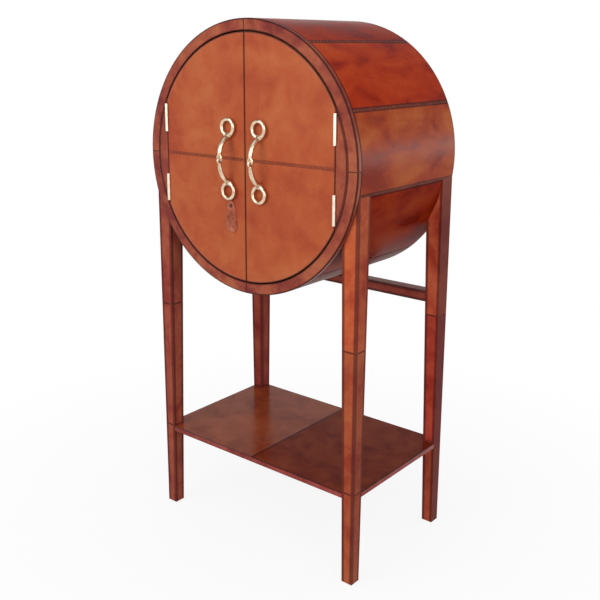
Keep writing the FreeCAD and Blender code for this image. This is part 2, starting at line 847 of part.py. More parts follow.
def make_arm(pull, x, level):
    """Tapered arm on an arc, from the eye, where it runs upright, to the neck."""
    low = eye_rise(level) * level + size("eye_radius")
    rise = neck_rise() - low
    turn = slope(size("pull_reach") - size("pull_ring_stand"), rise) * 2
    bend = rise / sine(turn)
    swell = size("arm_neck_radius") - size("arm_waist_radius")
    sections = []
    for count, share in enumerate(ARM_SHARES):
        lean = turn * share
        sketch = pull.newObject("Sketcher::SketchObject", "ArmSection%d" % count)
        place_feature(sketch, pull, x, bend * (1 - cosine(lean)) - size("pull_reach"),
                      (low + bend * sine(lean)) * level, "rotationx(%s)" % (-(lean * level)).rule)
        draw_circle(sketch, 0, 0, size("arm_waist_radius") + swell * share)
        sections.append(sketch)
    arm = pull.newObject("PartDesign::AdditiveLoft", "Arm")
    arm.Profile = sections[0]
    arm.Sections = sections[1:]


def make_eye(pull, x, level):
    """Eye at the arm's end; the upper one faces front and the lower one lies across it."""
    eye = pull.newObject("PartDesign::AdditiveTorus", "Eye")
    bind(eye, "Radius1", size("eye_radius"))
    bind(eye, "Radius2", size("eye_wire"))
    turn = "rotationx(90)" if level > 0 else "rotationy(90) * rotationz(90)"
    place_feature(eye, pull, x, -size("pull_reach"), eye_rise(level), turn)


def make_ring(pull, x, level):
    """Ring drawn to a blunt point: a round bow and two straight sides that meet at the neck."""
    tilt = size("pull_neck_slope")
    bow = pull.newObject("PartDesign::AdditiveTorus", "RingBow")
    bind(bow, "Radius1", size("pull_ring_radius"))
    bind(bow, "Radius2", size("pull_ring_wire"))
    bind(bow, "Angle3", 180 + tilt * 2)
    start = -tilt if level > 0 else 180 - tilt
    place_feature(bow, pull, x, -size("pull_ring_stand"), size("pull_ring_rise") * level,
                  "rotationx(90) * rotationz(%s)" % start.rule)
    length = size("pull_ring_radius") * cosine(tilt) / sine(tilt)
    lean = tilt if level > 0 else 180 - tilt
    for name, hand in (("RingRight", 1), ("RingLeft", -1)):
        side = pull.newObject("PartDesign::AdditiveCylinder", name)
        bind(side, "Radius", size("pull_ring_wire"))
        bind(side, "Height", length)
        place_feature(side, pull, x, -size("pull_ring_stand"), neck_rise() * level,
                      "rotationy(%s)" % (lean * hand).rule)


def make_neck(pull, x, level):
    """Domed post that carries the neck and takes the screw from inside the door."""
    dome = pull.newObject("PartDesign::AdditiveSphere", "Neck")
    bind(dome, "Radius", size("boss_radius"))
    place_feature(dome, pull, x, -size("pull_ring_stand"), neck_rise() * level, "rotationx(90)")
    boss = sketch_on(pull, "BossCircle", "XZ_Plane")
    draw_circle(boss, x, neck_rise() * level, size("boss_radius"))
    pad(pull, "Boss", boss, size("pull_ring_stand"))
    bore = sketch_on(pull, "ScrewCircle", "XZ_Plane")
    draw_circle(bore, x, neck_rise() * level, size("pull_screw_radius") + size("pin_play"))
    hole = pull.newObject("PartDesign::Pocket", "ScrewHole")
    hole.Profile = bore
    bind(hole, "Length", size("pull_screw_bite") + size("screw_play"))
    hole.Reversed = True


def make_pull_half(node, side, level):
    """One cast half of a pull: ring, neck, arched arm and eye."""
    pull = body("Pull" + node.replace("_", ""))
    x = size("pull_offset") * side
    make_arm(pull, x, level)
    make_eye(pull, x, level)
    make_ring(pull, x, level)
    make_neck(pull, x, level)
    finish(pull, node)


def make_pulls():
    """Two pulls, each of two halves, and the screws that hold them from inside the doors."""
    for word, side in (("left", -1), ("right", 1)):
        screws = []
        for rank, level in (("upper", 1), ("lower", -1)):
            make_pull_half("pull_%s_%s_half" % (word, rank), side, level)
            x = size("pull_offset") * side
            z = neck_rise() * level
            name = "pull_screw_%s_%s" % (word, rank)
            shank = disc(name + "_shank", size("pull_screw_radius"), -size("pull_screw_bite"),
                         PANEL_BACK + size("screw_head_height"), x, z)
            head = disc(name + "_head", size("screw_head_radius"), PANEL_BACK,
                        PANEL_BACK + size("screw_head_height"), x, z)
            screws.append(fuse(name, [shank, head]))
        finish(group("pull_screws_" + word, screws), "pull_%s_screws" % word)


# Key tab


def stud_hole():
    """Hole in leather and panel for the tab's stud."""
    radius = size("stud_radius") + size("screw_play")
    return disc("stud_hole", radius, -OVER, size("stud_bite") + size("glue_line"),
                -size("stud_offset"), -size("stud_drop"))


def make_tab():
    """Teardrop leather tab over the keyhole, and the stud that it swings on."""
    tab = body("KeyTab")
    back = size("tab_play")
    sketch = sketch_on(tab, "TabOutline", "XZ_Plane", back)
    x = -size("stud_offset")
    top_z = -size("stud_drop")
    foot_z = top_z - size("tab_length")
    top_radius = size("tab_top_radius")
    foot_radius = size("tab_foot_radius")
    lean = math.asin((foot_radius.value - top_radius.value) / size("tab_length").value)
    normal = Vector(math.cos(lean), math.sin(lean), 0)
    mirrored = Vector(-normal.x, normal.y, 0)
    top = Vector(x.value, top_z.value, 0)
    foot = Vector(x.value, foot_z.value, 0)
    up = Vector(0, 1, 0)
    round_top = sketch.addGeometry(Part.Arc(top + normal * top_radius.value, top + up * top_radius.value,
                                            top + mirrored * top_radius.value), False)
    left = sketch.addGeometry(Part.LineSegment(top + mirrored * top_radius.value,
                                               foot + mirrored * foot_radius.value), False)
    round_foot = sketch.addGeometry(Part.Arc(foot + mirrored * foot_radius.value,
                                             foot - up * foot_radius.value,
                                             foot + normal * foot_radius.value), False)
    right = sketch.addGeometry(Part.LineSegment(foot + normal * foot_radius.value,
                                                top + normal * top_radius.value), False)
    edges = (round_top, left, round_foot, right)
    for edge, following in zip(edges, edges[1:] + edges[:1]):
        hold(sketch, "Tangent", edge, 2, following, 1)
    for edge, z, radius in ((round_top, top_z, top_radius), (round_foot, foot_z, foot_radius)):
        hold_point(sketch, edge, 3, x, z)
        hold(sketch, "Radius", edge, radius)
    draw_circle(sketch, x, top_z, size("stud_radius") + size("pin_play"))
    pad(tab, "TabPad", sketch, size("tab_thickness"))
    finish(tab, "key_tab")
    front = -back - size("tab_thickness") - size("tab_play")
    shank = disc("stud_shank", size("stud_radius"), front, size("stud_bite"), x, top_z)
    head = disc("stud_head", size("stud_head_radius"), front - size("stud_head_height"), front, x, top_z)
    finish(fuse("tab_stud", [shank, head]), "tab_stud")


# Boards inside the drum


def make_board(node, top):
    """Board across the inside of the drum, its ends cut to the shell's curve."""
    curved = disc(node + "_round", SHELL_INNER - size("board_play"), size("board_setback"),
                  DEPTH - LEATHER - size("back_thickness") - size("board_play"))
    flat = block(node + "_flat", (-RADIUS, 0, top - size("board_thickness")), (RADIUS, DEPTH, top))
    finish(common(node, curved, flat), node)


def make_battens():
    """Battens glued to the shell under both ends of each board."""
    battens = []
    inside = SHELL_INNER - size("board_play")
    for rank, top in (("floor", -BOARD_DROP), ("shelf", size("shelf_rise"))):
        under = top - size("board_thickness")
        low = under - size("batten_height")
        edge = leg_of(inside, under) if rank == "floor" else leg_of(inside, low)
        for word, side in (("left", -1), ("right", 1)):
            name = "%s_batten_%s" % (rank, word)
            curved = disc(name + "_round", SHELL_INNER - size("glue_line"), size("board_setback"),
                          DEPTH - LEATHER - size("back_thickness") - size("board_play"))
            straight = side_block(name + "_side", side, edge - size("batten_width"), RADIUS,
                                  (0, low), (DEPTH, under))
            battens.append(common(name, curved, straight))
    finish(group("battens", battens), "shelf_battens")


# Stand: legs, lower shelf and rear rail


def leg_width(above_floor):
    """Width of a leg at a height above the floor."""
    bottom = size("glide_height")
    share = (above_floor - bottom) / (LEG_TOP - FLOOR - bottom)
    return size("leg_foot_width") + (size("leg_top_width") - size("leg_foot_width")) * share


def leg_corners(side, rear, width, trim):
    """Plan of a leg, its outer faces upright, trimmed all round by the leather's thickness."""
    outer = LEG_OUTER - trim
    inner = LEG_OUTER - width + trim
    low = RING_DEPTH + trim
    high = RING_DEPTH + width - trim
    if rear:
        low, high = DEPTH - width + trim, DEPTH - trim
    return [(inner * side, low), (outer * side, low), (outer * side, high), (inner * side, high)]


def leg_taper(name, side, rear, trim):
    """Tapered square post, from the foot to the top, before it is scribed to the drum."""
    post_body = body(name)
    sketches = []
    for count, (z, above) in enumerate(((FLOOR + size("glide_height"), size("glide_height")),
                                        (LEG_TOP, LEG_TOP - FLOOR))):
        sketch = sketch_on(post_body, "LegPlan%d" % count, "XY_Plane", z)
        draw_outline(sketch, leg_corners(side, rear, leg_width(above), trim))
        sketches.append(sketch)
    loft = post_body.newObject("PartDesign::AdditiveLoft", "LegTaper")
    loft.Profile = sketches[0]
    loft.Sections = sketches[1:]
    loft.Ruled = True
    return post_body


def make_leg(word, side, rank, rear, scribe, bolt_holes, dowel_holes):
    """One leg: a tapered core and its leather sleeve in three lengths, both cut to the drum."""
    name = "%s_%s" % (rank, word)
    core = leg_taper("LegCore%s%s" % (rank, word), side, rear, LEATHER)
    finish(cut("leg_core_" + name, core, [scribe, bolt_holes, dowel_holes]), "leg_" + name)
    skin = leg_taper("LegSkin%s%s" % (rank, word), side, rear, as_size(0))
    seams = []
    half = size("seam_gap") / 2
    for count, above in enumerate((size("leg_middle_seam"), size("leg_lower_seam"))):
        z = FLOOR + above
        seams.append(block("leg_seam%d_%s" % (count, name), (-RADIUS, -OVER, z - half),
                           (RADIUS, DEPTH + OVER, z + half)))
    tools = [core, scribe, bolt_holes, dowel_holes] + seams
    finish(cut("leg_leather_" + name, skin, tools), "leg_leather_" + name)


def dowels(name, radius, length):
    """Cylinders across each leg's inner face, at the lower shelf's middle."""
    above = size("low_shelf_height") - size("low_shelf_thickness") / 2
    width = leg_width(above)
    z = FLOOR + above
    middle = LEG_OUTER - width
    pegs = []
    for word, side in (("left", -1), ("right", 1)):
        for rank, y in (("front", RING_DEPTH + width / 2), ("rear", DEPTH - width / 2)):
            start = middle * side - length / 2
            pegs.append(peg("%s_%s_%s" % (name, rank, word), radius, start, start + length, y, z))
    return pegs


def make_legs(bolt_holes):
    """Four legs, scribed to the leather of the drum, on glides."""
    scribe = disc("scribe", RADIUS + size("glue_line"), -OVER, DEPTH + OVER)
    dowel_holes = fuse("dowel_holes", dowels("dowel_hole", size("dowel_radius") + size("dowel_play"),
                                             size("dowel_length") + size("dowel_play") * 2))
    for word, side in (("left", -1), ("right", 1)):
        for rank, rear in (("front", False), ("rear", True)):
            make_leg(word, side, rank, rear, scribe, bolt_holes, dowel_holes)
    finish(group("shelf_dowels", dowels("dowel", size("dowel_radius"), size("dowel_length"))),
           "shelf_dowels")
    glides = []
    half = size("leg_foot_width") / 2
    for word, side in (("left", -1), ("right", 1)):
        for rank, y in (("front", RING_DEPTH + half), ("rear", DEPTH - half)):
            glides.append(post("glide_%s_%s" % (rank, word), size("glide_radius"),
                               (LEG_OUTER - half) * side, y, FLOOR, FLOOR + size("glide_height")))
    finish(group("foot_glides", glides), "foot_glides")
    return dowel_holes


def make_low_shelf(dowel_holes):
    """Shelf notched round the legs, flush with their outer faces, with two leathers on top."""
    top = FLOOR + size("low_shelf_height")
    bottom = top - size("low_shelf_thickness")
    notch = leg_width(size("low_shelf_height")) + size("notch_play")
    x = LEG_OUTER
    x_in = LEG_OUTER - notch
    front = RING_DEPTH
    front_in = RING_DEPTH + notch
    rear_in = DEPTH - notch
    board = body("LowShelf")
    plan = sketch_on(board, "ShelfPlan", "XY_Plane", bottom)
    draw_outline(plan, [(-x_in, front), (x_in, front), (x_in, front_in), (x, front_in), (x, rear_in),
                        (x_in, rear_in), (x_in, DEPTH), (-x_in, DEPTH), (-x_in, rear_in), (-x, rear_in),
                        (-x, front_in), (-x_in, front_in)])
    pad(board, "ShelfPad", plan, size("low_shelf_thickness") - LEATHER)
    finish(cut("low_shelf", board, [dowel_holes]), "lower_shelf")
    near = size("seam_gap") / 2
    for word, side in (("left", -1), ("right", 1)):
        cover = body("ShelfLeather" + word)
        plan = sketch_on(cover, "LeatherPlan", "XY_Plane", top - LEATHER)
        draw_outline(plan, [(near * side, front), (x_in * side, front), (x_in * side, front_in),
                            (x * side, front_in), (x * side, rear_in), (x_in * side, rear_in),
                            (x_in * side, DEPTH), (near * side, DEPTH)])
        pad(cover, "LeatherPad", plan, LEATHER)
        finish(cover, "lower_shelf_leather_" + word)


def rail_outline(trim):
    """Front view of the rear rail: its ends follow the taper of the legs."""
    corners = []
    top = RAIL_HEIGHT - trim
    bottom = RAIL_HEIGHT - size("rail_thickness") + trim
    for above, side in ((bottom, -1), (bottom, 1), (top, 1), (top, -1)):
        x = LEG_OUTER - leg_width(above) - size("rail_play")
        corners.append((x * side, FLOOR + above))
    return corners


def make_rail():
    """Rail between the rear legs just under the drum: a core in a leather sleeve."""
    width = leg_width(RAIL_HEIGHT)
    start = DEPTH - width + size("rail_inset")
    end = DEPTH - size("rail_inset")
    solids = []
    for name, trim in (("Core", LEATHER), ("Sleeve", as_size(0))):
        rail = body("Rail" + name)
        sketch = sketch_on(rail, "RailFront", "XZ_Plane", -(start + trim))
        draw_outline(sketch, rail_outline(trim))
        pad(rail, "RailPad", sketch, end - start - trim * 2, back=True)
        solids.append(rail)
    core, sleeve = solids
    reach = block("rail_bore", (-RADIUS, start + LEATHER, FLOOR + RAIL_HEIGHT
                                - size("rail_thickness") + LEATHER),
                  (RADIUS, end - LEATHER, FLOOR + RAIL_HEIGHT - LEATHER))
    finish(cut("rail_leather", sleeve, [reach]), "rear_rail_leather")
    finish(core, "rear_rail")


def make_cabinet():
    """Put the whole cabinet together, drum first and stand last."""
    bolt_holes = leg_bolt_holes()
    make_drum_shell(bolt_holes)
    make_drum_leathers(bolt_holes)
    make_front_ring()
    make_ring_leather()
    make_back()
    crescent_faces = []
    for word, side in (("left", -1), ("right", 1)):
        relief = hinge_relief(side)
        crescent_faces.append(make_crescent(side, word, relief))
        make_door(side, word, relief)
    finish(group("crescent_leather", crescent_faces), "crescent_leathers")
    make_hinges()
    make_pulls()
    make_tab()
    make_lock()
    make_strike()
    make_door_stops()
    make_board("cabinet_floor", -BOARD_DROP)
    make_board("middle_shelf", size("shelf_rise"))
    make_battens()
    make_leg_bolts()
    make_low_shelf(make_legs(bolt_holes))
    make_rail()


make_cabinet()
doc.recompute()
faults = [thing.Name for thing in doc.Objects if set(thing.State) & {"Invalid", "Error"}]
if faults:
    raise RuntimeError("objects that failed: " + ", ".join(faults))
for piece in made:
    if piece.Shape.isNull() or not piece.Shape.isValid() or not piece.Shape.Solids:
        raise RuntimeError("piece without a sound solid: " + piece.Label)
for piece in made:
    piece.Shape.exportStep("parts/%s.step" % piece.Label)
    print(piece.Label, len(piece.Shape.Solids), round(piece.Shape.Volume))
print(len(made), "nodes; pull front at", round(PULL_FRONT.value, 2))
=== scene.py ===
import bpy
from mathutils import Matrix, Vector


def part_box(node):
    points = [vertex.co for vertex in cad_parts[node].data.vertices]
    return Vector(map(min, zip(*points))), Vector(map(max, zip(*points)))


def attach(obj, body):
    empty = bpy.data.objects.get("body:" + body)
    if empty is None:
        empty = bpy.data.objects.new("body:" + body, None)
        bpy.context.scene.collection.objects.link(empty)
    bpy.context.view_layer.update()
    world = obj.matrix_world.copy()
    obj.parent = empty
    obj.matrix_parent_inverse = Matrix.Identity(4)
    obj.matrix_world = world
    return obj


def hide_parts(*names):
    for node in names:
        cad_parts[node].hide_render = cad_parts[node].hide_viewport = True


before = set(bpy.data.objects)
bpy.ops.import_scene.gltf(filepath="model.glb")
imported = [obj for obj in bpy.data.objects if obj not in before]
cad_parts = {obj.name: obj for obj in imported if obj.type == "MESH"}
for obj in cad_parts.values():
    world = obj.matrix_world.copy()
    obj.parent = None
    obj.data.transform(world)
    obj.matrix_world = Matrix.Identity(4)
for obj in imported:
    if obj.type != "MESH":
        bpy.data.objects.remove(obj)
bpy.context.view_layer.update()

import math

import bmesh
import bpy
from mathutils import Matrix, Vector


# Carcass timber: the bent-ply shell, the ring's core, the back, the boards and the doors' panels.
# It is birch ply stained to match the leather, sanded and given one coat of satin lacquer.
# The posts of the legs and the rail between them are beech, stained alike.
def add(tree, kind, inputs, **settings):
    """Add a shader node; an input takes a value or another node's socket."""
    made = tree.nodes.new("ShaderNode" + kind)
    for name, value in settings.items():
        setattr(made, name, value)
    for name, value in inputs.items():
        if isinstance(value, bpy.types.NodeSocket):
            tree.links.new(value, made.inputs[name])
        else:
            made.inputs[name].default_value = value
    return made


def sum_of(tree, operation, first, second=0.0, third=0.0):
    """One sum on sockets or numbers."""
    return add(tree, "Math", {0: first, 1: second, 2: third}, operation=operation).outputs[0]


def weigh(tree, *parts):
    """Patterns added up, each by its own weight."""
    total = 0.0
    for pattern, weight in parts:
        total = sum_of(tree, "MULTIPLY_ADD", pattern, weight, total)
    return total


def shades(tree, amount, *stops):
    """Colours spread along an amount; each stop is a place and a colour."""
    ramp = add(tree, "ValToRGB", {"Fac": amount})
    while len(ramp.color_ramp.elements) < len(stops):
        ramp.color_ramp.elements.new(0.5)
    for element, (place, colour) in zip(ramp.color_ramp.elements, stops):
        element.position = place
        element.color = (*colour, 1.0)
    return ramp.outputs["Color"]


def start_finish(name, roughness):
    """A new finish with its roughness set, and the places that its pattern is drawn by."""
    finish = bpy.data.materials.new(name)
    finish.use_nodes = True
    tree = finish.node_tree
    shader = tree.nodes["Principled BSDF"]
    shader.inputs["Roughness"].default_value = roughness
    places = add(tree, "TexCoord", {}).outputs["Object"]
    return finish, tree, shader, places


def emboss(tree, shader, height, strength, distance):
    """Raise and sink a finish by the height of a pattern."""
    bump = add(tree, "Bump", {"Height": height, "Strength": strength, "Distance": distance})
    tree.links.new(bump.outputs[0], shader.inputs["Normal"])


def timber(name, dark, light, grain, roughness):
    """Stained timber, its grain drawn out along one direction."""
    finish, tree, shader, places = start_finish(name, roughness)
    long_way = add(tree, "Mapping", {"Vector": places, "Scale": grain}).outputs[0]
    figure = add(tree, "TexNoise", {"Vector": long_way, "Scale": 14.0, "Detail": 6.0, "Roughness": 0.6,
                                    "Distortion": 0.6}).outputs[0]
    pores = add(tree, "TexNoise", {"Vector": long_way, "Scale": 620.0, "Detail": 3.0}).outputs[0]
    rings = add(tree, "TexWave", {"Vector": long_way, "Scale": 9.0, "Distortion": 7.0, "Detail": 3.0,
                                  "Detail Scale": 1.4}).outputs["Fac"]
    grained = weigh(tree, (weigh(tree, (figure, 0.7), (pores, 0.3)), 0.87), (rings, 0.16))
    tree.links.new(shades(tree, grained, (0.36, dark), (0.68, light)), shader.inputs["Base Color"])
    emboss(tree, shader, grained, strength=0.25, distance=0.0006)
    shader.inputs["Specular IOR Level"].default_value = 0.18
    return finish


def dress(finish, *names):
    """Give pieces of the model one finish."""
    for name in names:
        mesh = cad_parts[name].data
        mesh.materials.clear()
        mesh.materials.append(finish)


STAIN = ((0.150, 0.044, 0.017), (0.36, 0.135, 0.058))
stained_ply = timber("stained ply", *STAIN, grain=(1.0, 0.10, 1.0), roughness=0.40)
stained_board = timber("stained board", *STAIN, grain=(0.09, 1.0, 1.0), roughness=0.36)
stained_post = timber("stained upright", *STAIN, grain=(1.0, 1.0, 0.08), roughness=0.40)
dress(stained_ply, "drum_shell")
dress(stained_post, "front_ring", "back_panel", "crescent_left", "crescent_right", "door_left_panel",
      "door_right_panel")
dress(stained_board, "cabinet_floor", "middle_shelf", "shelf_battens", "door_stops")


# Drum leathers: cowhide dyed by hand in cognac, glued round the shell in panels that meet edge to edge.
# The dye is cloudy, the cut edges are burnished dark, and the whole is glazed to a high gloss.
# The drum's size and place are read from the model, and the lines on all leathers are placed by them.
ring_low, ring_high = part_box("ring_leather")
RADIUS = (ring_high.x - ring_low.x) / 2
FACE = ring_low.y
CENTRE = (ring_high.z + ring_low.z) / 2
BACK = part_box("back_leather")[1].y
RING_BACK = FACE + 0.012
LEG_DROP = 0.057  # how far below the drum's centre the tops of the legs meet its side
TOP_STEP = math.radians(33.35)
LEG_LINE = -math.asin(LEG_DROP / RADIUS)
UNDER_STEP = (math.pi / 2 + LEG_LINE) / 2
SEAM_ANGLES = (math.pi / 2, math.pi / 2 - TOP_STEP, math.pi / 2 - 2 * TOP_STEP, LEG_LINE,
               LEG_LINE - UNDER_STEP, -math.pi / 2)
LACE_HALF = 0.0042
LACE_LINE = (0.0028, 0.97)
LACE_SHADE = (0.0074, 0.78)
DRUM_DYE = ((0.25, 0.016, 0.005), (0.390, 0.036, 0.007), (0.47, 0.066, 0.012))
# Tones of the drum's panels from the bottom up: the two lowest panels, under the drum, are darkened as
# painted shade, the middle panel of the side is lightened and greyed as a painted reflection band, and
# the top panels differ a little in tone.
PANEL_TONES_AND_PAINTED_LIGHT = ((0.46, 0.62, 1.0), (0.72, 0.62, 0.7), (1.03, 1.75, 2.6), (1.10, 0.93, 0.86),
               (0.88, 0.60, 0.40))
BURNISH = (0.040, 0.010, 0.010)
BACK_EDGE = 0.0012
WELD = 2e-6
FLAT = math.radians(0.4)
CUT = math.radians(40)
TOUCH = 0.0002  # an edge this near to a plane lies in it


def ways(tree, places):
    """Distances that a line on the cabinet may be drawn by, worked out from a point's place."""
    split = add(tree, "SeparateXYZ", {0: places}).outputs
    width = sum_of(tree, "ABSOLUTE", split["X"])
    rise = sum_of(tree, "SUBTRACT", split["Z"], CENTRE)
    square = sum_of(tree, "MULTIPLY_ADD", rise, rise, sum_of(tree, "MULTIPLY", width, width))
    turn = sum_of(tree, "MULTIPLY", sum_of(tree, "ARCTAN2", rise, width), RADIUS)
    return {"width": width, "depth": split["Y"], "height": split["Z"], "across": split["X"],
            "radius": sum_of(tree, "SQRT", square), "turn": turn}


def lines_on(tree, places, lines):
    """1 on the lines and 0 beyond their reach.

    Each line is the way that it is measured by, its place there, its reach and its strength, and
    for a line that leans with a leg's taper, how much it leans.
    """
    measured = ways(tree, places)
    total = None
    for way, place, reach, strength, *lean in lines:
        value = measured[way]
        if lean:
            value = sum_of(tree, "MULTIPLY_ADD", measured["height"], -lean[0], value)
        off = sum_of(tree, "ABSOLUTE", sum_of(tree, "SUBTRACT", value, place))
        near = add(tree, "MapRange", {"Value": off, "From Min": 0.0, "From Max": reach,
                                      "To Min": strength, "To Max": 0.0},
                   interpolation_type="SMOOTHSTEP").outputs[0]
        total = near if total is None else sum_of(tree, "MAXIMUM", total, near)
    return total


def tinted(tree, colour, tint, amount):
    """A colour with a tint laid over it."""
    return add(tree, "Mix", {0: amount, 6: colour, 7: tint}, data_type="RGBA",
               blend_type="MULTIPLY").outputs[2]


def dull(tree, shader, pattern, smoothest, roughest):
    """Vary a finish's roughness by a pattern."""
    rough = add(tree, "MapRange", {"Value": pattern, "From Min": 0.3, "From Max": 0.7,
                                   "To Min": smoothest, "To Max": roughest}).outputs[0]
    tree.links.new(rough, shader.inputs["Roughness"])


def hide(name, dark, plain, light, roughness=0.34, cloud=6.0, drawn_out=(1, 1, 1), veins=0.45,
         spread=0.14, fleck=0.35, panels=None, lines=(), corners=None, burnish_and_shade=BURNISH, worn=0.9,
         relief=0.2, shine=0.2, glaze=(0.60, 0.42, 0.34)):
    """Glazed hide: cloudy dye, fine pores, a slightly uneven clear glaze and burnished lines, where a
    line can also darken a whole face as painted shade.

    cloud is the scale of the clouds in the dye, veins the share of the small ones, spread how soon
    they reach the dark and light dyes, and fleck the strength of the grain. panels gives pieces of
    one leather a tint each along a way; on the drum and the right legs these tints also hold painted
    shade, painted light and a painted reflection band. corners are pairs of planes that cross in a worn
    edge.
    """
    finish, tree, shader, places = start_finish(name, roughness)
    drift = add(tree, "TexNoise", {"Vector": places, "Scale": cloud, "Detail": 3.0, "Roughness": 0.55,
                                   "Distortion": 0.4}).outputs[0]
    slanted = add(tree, "Mapping", {"Vector": places, "Rotation": (math.radians(38), 0, 0),
                                    "Scale": drawn_out}).outputs[0]
    mottle = add(tree, "TexNoise", {"Vector": slanted, "Scale": cloud * 3.4, "Detail": 5.0,
                                    "Roughness": 0.55, "Distortion": 0.5}).outputs[0]
    dye = weigh(tree, (drift, 1 - veins), (mottle, veins))
    colour = shades(tree, dye, (0.5 - spread, dark), (0.5, plain), (0.5 + spread, light))
    grain = add(tree, "TexNoise", {"Vector": places, "Scale": 130.0, "Detail": 3.0}).outputs[0]
    flecks = shades(tree, grain, (0.35, (0.80, 0.72, 0.72)), (0.62, (1.06, 1.05, 1.03)))
    colour = tinted(tree, colour, flecks, fleck)
    if panels:
        way, start, end, tones_with_painted_light = panels
        reached = add(tree, "MapRange", {"Value": ways(tree, places)[way], "From Min": start,
                                         "From Max": end}).outputs[0]
        tint_with_painted_light = shades(tree, reached, *tones_with_painted_light)
        tint_with_painted_light.node.color_ramp.interpolation = "CONSTANT"
        colour = tinted(tree, colour, tint_with_painted_light, 1.0)
    pores = add(tree, "TexVoronoi", {"Vector": places, "Scale": 760.0}).outputs["Distance"]
    wave = add(tree, "TexNoise", {"Vector": places, "Scale": 30.0, "Detail": 2.0}).outputs[0]
    height = weigh(tree, (wave, 1.0), (pores, 0.05))
    if lines or corners:
        drawn = lines_on(tree, places, lines) if lines else 0.0
        if corners:
            near = sum_of(tree, "MULTIPLY", *(lines_on(tree, places, pair) for pair in corners))
            near = add(tree, "MapRange", {"Value": near, "From Min": 0.08, "From Max": 0.6},
                       interpolation_type="SMOOTHSTEP").outputs[0]
            drawn = sum_of(tree, "MAXIMUM", drawn, sum_of(tree, "MULTIPLY", near, worn))
        colour = add(tree, "Mix", {0: drawn, 6: colour, 7: (*burnish_and_shade, 1.0)},
                     data_type="RGBA").outputs[2]
        height = weigh(tree, (height, 1.0), (drawn, -0.9))
    tree.links.new(colour, shader.inputs["Base Color"])
    dull(tree, shader, mottle, roughness - 0.06, roughness + 0.08)
    emboss(tree, shader, height, strength=relief, distance=0.0009)
    shader.inputs["Specular IOR Level"].default_value = shine
    shader.inputs["Specular Tint"].default_value = (*glaze, 1.0)
    return finish


def settle(bm, name, finish, body, stands_for=(), crease=60):
    """Turn a shape into a piece that rides on a body and may stand for pieces of the model."""
    mesh = bpy.data.meshes.new(name)
    bm.to_mesh(mesh)
    bm.free()
    mesh.materials.append(finish)
    mesh.shade_smooth()
    mesh.set_sharp_from_angle(angle=math.radians(crease))
    piece = bpy.data.objects.new(name, mesh)
    bpy.context.scene.collection.objects.link(piece)
    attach(piece, body)
    if stands_for:
        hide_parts(*stands_for)
    return piece


def soften(name, finish, edge, body, where):
    """Copy a leather of the model into a piece of its own, its cut edges rounded over."""
    bm = bmesh.new()
    bm.from_mesh(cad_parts[name].data)
    bmesh.ops.remove_doubles(bm, verts=bm.verts, dist=WELD)
    bmesh.ops.dissolve_limit(bm, angle_limit=FLAT, verts=bm.verts, edges=bm.edges)
    cut = [line for line in bm.edges if len(line.link_faces) == 2 and line.is_convex
           and line.calc_face_angle() > CUT and where(*(end.co for end in line.verts))]
    bmesh.ops.bevel(bm, geom=cut, offset=edge, segments=3, profile=0.5, affect="EDGES", material=-1,
                    clamp_overlap=True)
    piece = settle(bm, name + "_dressed", finish, body, stands_for=(name,))
    flat = piece.modifiers.new("flat faces", "WEIGHTED_NORMAL")
    flat.keep_sharp = True


drum_lines = [("depth", RING_BACK + 0.0006, 0.0050, 0.9), ("depth", BACK, 0.0060, 0.95)]
for angle in SEAM_ANGLES:
    seam = angle * RADIUS
    drum_lines += [("turn", seam - LACE_HALF, *LACE_LINE), ("turn", seam + LACE_HALF, *LACE_LINE),
                   ("turn", seam, *LACE_SHADE)]
# The panel tones lay painted shade under the drum and a painted reflection band on its side.
panel_starts = [0.0] + [angle / math.pi + 0.5 for angle in reversed(SEAM_ANGLES[1:-1])]
drum_panels_with_painted_light = ("turn", -math.pi / 2 * RADIUS, math.pi / 2 * RADIUS, list(zip(panel_starts, PANEL_TONES_AND_PAINTED_LIGHT)))
for part, shine, *names in (("side", 0.06, "drum_leather_left", "drum_leather_right"),
                            ("underside", 0.01, "drum_leather_underside")):
    drum_hide = hide("glazed drum hide with painted light " + part, *DRUM_DYE, roughness=0.30, cloud=4.5,
                     drawn_out=(1.0, 0.45, 1.0), veins=0.58, spread=0.095, panels=drum_panels_with_painted_light,
                     lines=drum_lines, shine=shine, glaze=(1.0, 0.85, 0.7))
    dress(drum_hide, *names)
back_hide = hide("glazed back hide", *DRUM_DYE, cloud=5.0, drawn_out=(1.0, 0.45, 1.0), veins=0.5,
                 lines=[("radius", RADIUS, 0.0060, 0.95)], shine=0.05)
soften("back_leather", back_hide, BACK_EDGE, "carcass",
       where=lambda a, b: min(a.y, b.y) > BACK - TOUCH)


# Lacing of the drum: a flat thong of the same hide, whipped slantwise over each butt seam by hand.
# It lies in a shallow groove with a burnished line on each side.
LACE_START = 0.0185
LACE_ENDS = 0.020
LACE_STAND = 0.0001
LACE_PITCH = 0.0125
LACE_SIZE = (0.0145, 0.0026, 0.0011)
LACE_SLANT = math.radians(24)
ALONG_DRUM = Vector((0, 1, 0))


def bead(rounds, rings):
    """Pattern of one stitch: a round bead of unit size, its poles at the ends of the stitch."""
    bm = bmesh.new()
    bmesh.ops.create_uvsphere(bm, u_segments=rounds, v_segments=rings, radius=1.0,
                              matrix=Matrix.Rotation(math.pi / 2, 4, "Y"))
    bm.verts.index_update()
    return bm


def stitch(bm, pattern, place, along, out, size, slant=0.0):
    """One stitch: a low rounded bead laid along a seam, turned a little across it."""
    along = Matrix.Rotation(slant, 3, out) @ along.normalized()
    across = out.cross(along).normalized()
    laid = Matrix((along * size[0] / 2, across * size[1] / 2, out * size[2] / 2)).transposed()
    ends = [bm.verts.new(place + laid @ vert.co) for vert in pattern.verts]
    for face in pattern.faces:
        bm.faces.new([ends[vert.index] for vert in face.verts])


